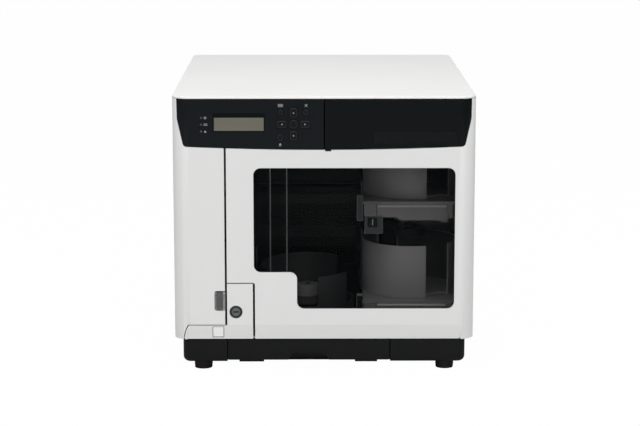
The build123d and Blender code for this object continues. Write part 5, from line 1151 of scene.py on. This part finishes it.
@dataclass
class DiscBay:
    """Shelves, stackers and the arm behind the window, in metres.

    Attributes:
        walls: first and last angle of each wall of a main stacker, in degrees.
        inner_shade: inner and outer radius, foot and top of the painted shade on a stacker's
            wall.
        hub: outer and inner radius, foot and top of the hub's sleeve.
        shoulder: radius of the sleeve's rounded shoulder.
        skin: thickness of the sleeve.
        pane_ribs: places of the ribs on the pane.
        rib: breadth and height of a rib, and height of its middle.
        lead: rise of the screw's thread in one turn.
        core: share of the screw's radius that the thread leaves.
        plain: lengths of the screw's lower and upper plain end.
    """

    walls: tuple[Pair, ...] = ((-39.8, 102.8), (135.2, 285.4))
    inner_shade: tuple[float, ...] = (0.06008, 0.06042, 0.0030, 0.0672)
    hub: tuple[float, ...] = (0.0152, 0.0052, 0.06160, 0.0769)
    shoulder: float = 0.0016
    skin: float = 0.0004
    pane_ribs: Pair = (-0.0673, -0.0466)
    rib: Point = (0.0014, 0.142, 0.190)
    lead: float = 0.012
    core: float = 0.74
    plain: Pair = (0.011, 0.012)

    def build(self) -> None:
        """Dress the bay and add what the window shows."""
        dress(Look.SHELF, "upper_shelf", "lower_shelf")
        dress(Look.CUP, "stacker_1", "stacker_2")
        dress(Look.CUP_DARK, "stacker_3")
        dress(Look.TRAY, "arm_carriage", "disc_picker")
        dress(Look.ROD, "arm_mast", "carriage_rails")
        dress(Look.STEEL, "swing_motor", "drive_cage")
        dress(Look.CAST, "motor_pulley")
        dress(Look.BELT, "swing_belt")
        dress(Look.DRIVE, "drive_1", "drive_2", "print_carriage", "printer_frame")
        dress(Look.TRAY, "drive_1_tray", "drive_2_tray", "printer_tray")
        soften(0.0006, "upper_shelf", "lower_shelf", "stacker_1", "stacker_2", "stacker_3")
        for shelf in (ShelfFace("upper", 0.0, "1"), ShelfFace("lower", 129.0)):
            shelf.build()
        for index in (1, 2):
            self.cup_inner_shade(index)
        self.hub_sleeve()
        self.window_ribs()
        self.screw_thread()

    def cup_inner_shade(self, index: int) -> None:
        """Dark thin layer on the inner wall of a main stacker: painted shade inside the cup.

        Each layer is an arc: a rectangle of two radii and two heights,
        turned about the cup's axis between the wall's two angles.

        Args:
            index: number of the stacker.
        """
        x, y, _ = centre_of(f"stacker_{index}")
        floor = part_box(f"stacker_{index}")[0][2]
        inner, outer, foot, top = self.inner_shade
        section = ((outer, foot), (outer, top), (inner, top), (inner, foot))
        arcs = []
        for start, stop in self.walls:
            turns = np.radians(np.linspace(start, stop, 48))
            rings = [
                [(x + r * cos(t), y + r * sin(t), floor + h) for r, h in section] for t in turns
            ]
            arcs.append(rings_mesh("arc", np.array(rings)))
        inner_shade = joined(f"cup_inner_shade_{index}", arcs)
        publish(inner_shade, Look.CUP_INNER_SHADE, f"cup_{index}")

    def hub_sleeve(self) -> None:
        """Pale sleeve on the lower stacker's hub, with a rounded shoulder.

        Its section runs up the outside, turns in over a quarter circle of
        the shoulder's radius, crosses the top and drops to the bore.
        """
        outer, bore, foot, top = self.hub
        edge, inside = self.shoulder, outer - self.skin
        turns = np.linspace(0.0, pi / 2, 5)
        section = [(outer, foot)]
        section += [(outer - edge * (1 - cos(t)), top - edge * (1 - sin(t))) for t in turns]
        section += [(bore, top), (bore, top - 0.0006), (inside, top - 0.0030), (inside, foot)]
        x, y, _ = centre_of("stacker_3")
        sleeve = hoop("hub_sleeve", turned(section, on_level(x, y, 0.0), 56))
        publish(sleeve, Look.HUB, "cup_3")

    def window_ribs(self) -> None:
        """Two slim upright ribs moulded on the inside of the pane; their pale grey is partly
        painted highlight.
        """
        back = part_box("door_window")[1][1]
        breadth, tall, middle = self.rib
        shape = rounded_outline(breadth, tall, radius=0.0005, steps=4)
        for index, x in enumerate(self.pane_ribs, 1):
            spot = at_rear(x, back, middle)
            mesh = slab(f"pane_rib_{index}", shape, spot, height=0.0006, edge=0.0002)
            publish(mesh, Look.PANE_RIB_HIGHLIGHT, "door")

    def screw_thread(self) -> None:
        """Lift screw with a true helical thread between plain ends.

        At height z and angle a the radius is r0 + (r1 - r0) w, where w is a
        rounded trapezium wave, clamp(1.4 cos(2 (tau z / lead + a)) + 0.5),
        which gives two starts; near both ends w is 1.
        """
        low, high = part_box("lift_screw")
        x, y, _ = centre_of("lift_screw")
        around, step = 24, 0.00075
        heights = np.append(np.arange(low[2], high[2], step), high[2])[:, None]
        angle = np.linspace(0.0, tau, around, endpoint=False)[None, :]
        wave = np.clip(1.4 * np.cos(2 * (tau * heights / self.lead + angle)) + 0.5, 0.0, 1.0)
        below, above = low[2] + self.plain[0], high[2] - self.plain[1]
        wave = np.where((heights < below) | (heights > above), 1.0, wave)
        crest = (high[0] - low[0]) / 2
        radius = crest * (self.core + (1.0 - self.core) * wave)
        level = np.repeat(heights, around, 1)
        rings = np.stack([x + radius * np.cos(angle), y + radius * np.sin(angle), level], -1)
        thread = rings_mesh("lift_screw_thread", rings)
        publish(thread, Look.ROD, "screw", "lift_screw")


class Services:
    """Ink supply, electronics, fan and rear sockets."""

    def build(self) -> None:
        """Dress what lies behind the covers."""
        dress(Look.LINER, "ink_bay")
        dress(Look.INK, "ink_cartridges")
        dress(Look.STEEL, "power_supply")
        dress(Look.BOARD, "main_board")
        dress(Look.DRIVE, "fan_frame", "fan_rotor", "rear_sockets")


@dataclass(frozen=True)
class Lamp:
    """One square area lamp.

    Attributes:
        name: its name.
        spot: where it hangs, in metres.
        aim: height over the origin of the point that it faces.
        size: side of the square.
        power: power in watts.
    """

    name: str
    spot: Point
    aim: float
    size: float
    power: float

    def build(self) -> None:
        """Hang the lamp and turn it to its aim."""
        data = bpy.data.lights.new(self.name, "AREA")
        data.shape = "SQUARE"
        data.size = self.size
        data.energy = self.power
        lamp = bpy.data.objects.new(self.name, data)
        lamp.location = self.spot
        toward = Vector((0.0, 0.0, self.aim)) - Vector(self.spot)
        lamp.rotation_euler = toward.to_track_quat("-Z", "Y").to_euler()
        bpy.context.scene.collection.objects.link(lamp)


@dataclass
class Studio:
    """Pale floor and surround, soft lamps and the photograph's camera.

    Attributes:
        camera_spot: the camera's place, in metres.
        camera_turn: the camera's turn on each axis, in degrees.
        lens: focal length, in millimetres on a 36 mm sensor.
        floor_half: half the floor's side.
        floor_glow: share of its own light in what the camera sees of the floor.
        ambient: strength of the surround as light.
        lights: the lamps, one overhead and one on each side in front.
    """

    camera_spot: Point = (-0.020, -2.6615, 0.654)
    camera_turn: Point = (79.41, 0.0, -0.35)
    lens: float = 111.1
    floor_half: float = 12.0
    floor_glow: float = 0.985
    ambient: float = 0.31
    lights: tuple[Lamp, ...] = (
        Lamp("overhead", (0.0, -0.50, 1.9), 0.25, 1.8, 28.5),
        Lamp("front_left", (-1.1, -2.3, 1.5), 0.18, 1.6, 6.8),
        Lamp("front_right", (0.7, -2.5, 1.5), 0.18, 1.6, 9.4),
    )

    def build(self) -> None:
        """Set up the stage."""
        self.camera()
        self.floor()
        for lamp in self.lights:
            lamp.build()
        self.world()

    def camera(self) -> None:
        """Camera at the photograph's angle."""
        data = bpy.data.cameras.new("camera")
        data.lens = self.lens
        data.sensor_width = 36.0
        data.clip_end = 50.0
        camera = bpy.data.objects.new("camera", data)
        camera.location = self.camera_spot
        camera.rotation_euler = tuple(radians(v) for v in self.camera_turn)
        bpy.context.scene.collection.objects.link(camera)
        bpy.context.scene.camera = camera

    def floor(self) -> None:
        """Large flat floor that reads as white."""
        half = self.floor_half
        mesh = bpy.data.meshes.new("floor")
        corners = [(-half, -half, 0), (half, -half, 0), (half, half, 0), (-half, half, 0)]
        mesh.from_pydata(corners, [], [(0, 1, 2, 3)])
        graph = Graph(bpy.data.materials.new("floor_white"))
        path = graph.node("ShaderNodeLightPath", {}, {})
        diffuse = graph.node("ShaderNodeBsdfDiffuse", {}, {"Color": rgba(0.82)})
        glow = graph.node("ShaderNodeEmission", {}, {"Color": rgba(1.0), "Strength": 1.0})
        seen = graph.wire(path, "Is Camera Ray") * self.floor_glow
        graph.close(graph.cross(seen, diffuse, glow))
        mesh.materials.append(graph.owner)
        floor = bpy.data.objects.new("floor", mesh)
        bpy.context.scene.collection.objects.link(floor)

    def world(self) -> None:
        """White surround: full white to the camera, softer as light."""
        graph = Graph(bpy.data.worlds.new("surround"))
        path = graph.node("ShaderNodeLightPath", {}, {}).outputs
        rays = {0: path["Is Camera Ray"], 1: path["Is Transmission Ray"]}
        seen = graph.node("ShaderNodeMath", {"operation": "MAXIMUM"}, rays)
        soft, bright = (
            graph.node("ShaderNodeBackground", {}, {"Color": rgba(1.0), "Strength": strength})
            for strength in (self.ambient, 1.0)
        )
        mix = graph.cross(graph.wire(seen), soft, bright)
        graph.close(mix, "ShaderNodeOutputWorld")
        bpy.context.scene.world = graph.owner


def main() -> None:
    """Build every sub-assembly in order."""
    logging.basicConfig(level=logging.INFO, format="%(name)s: %(message)s")
    bpy.context.scene.view_settings.view_transform = "Standard"
    for assembly in (Casing(), ControlPanel(), FrontHardware(), DiscBay(), Services(), Studio()):
        LOG.info("building %s", type(assembly).__name__)
        assembly.build()


if __name__ == "__main__":
    main()
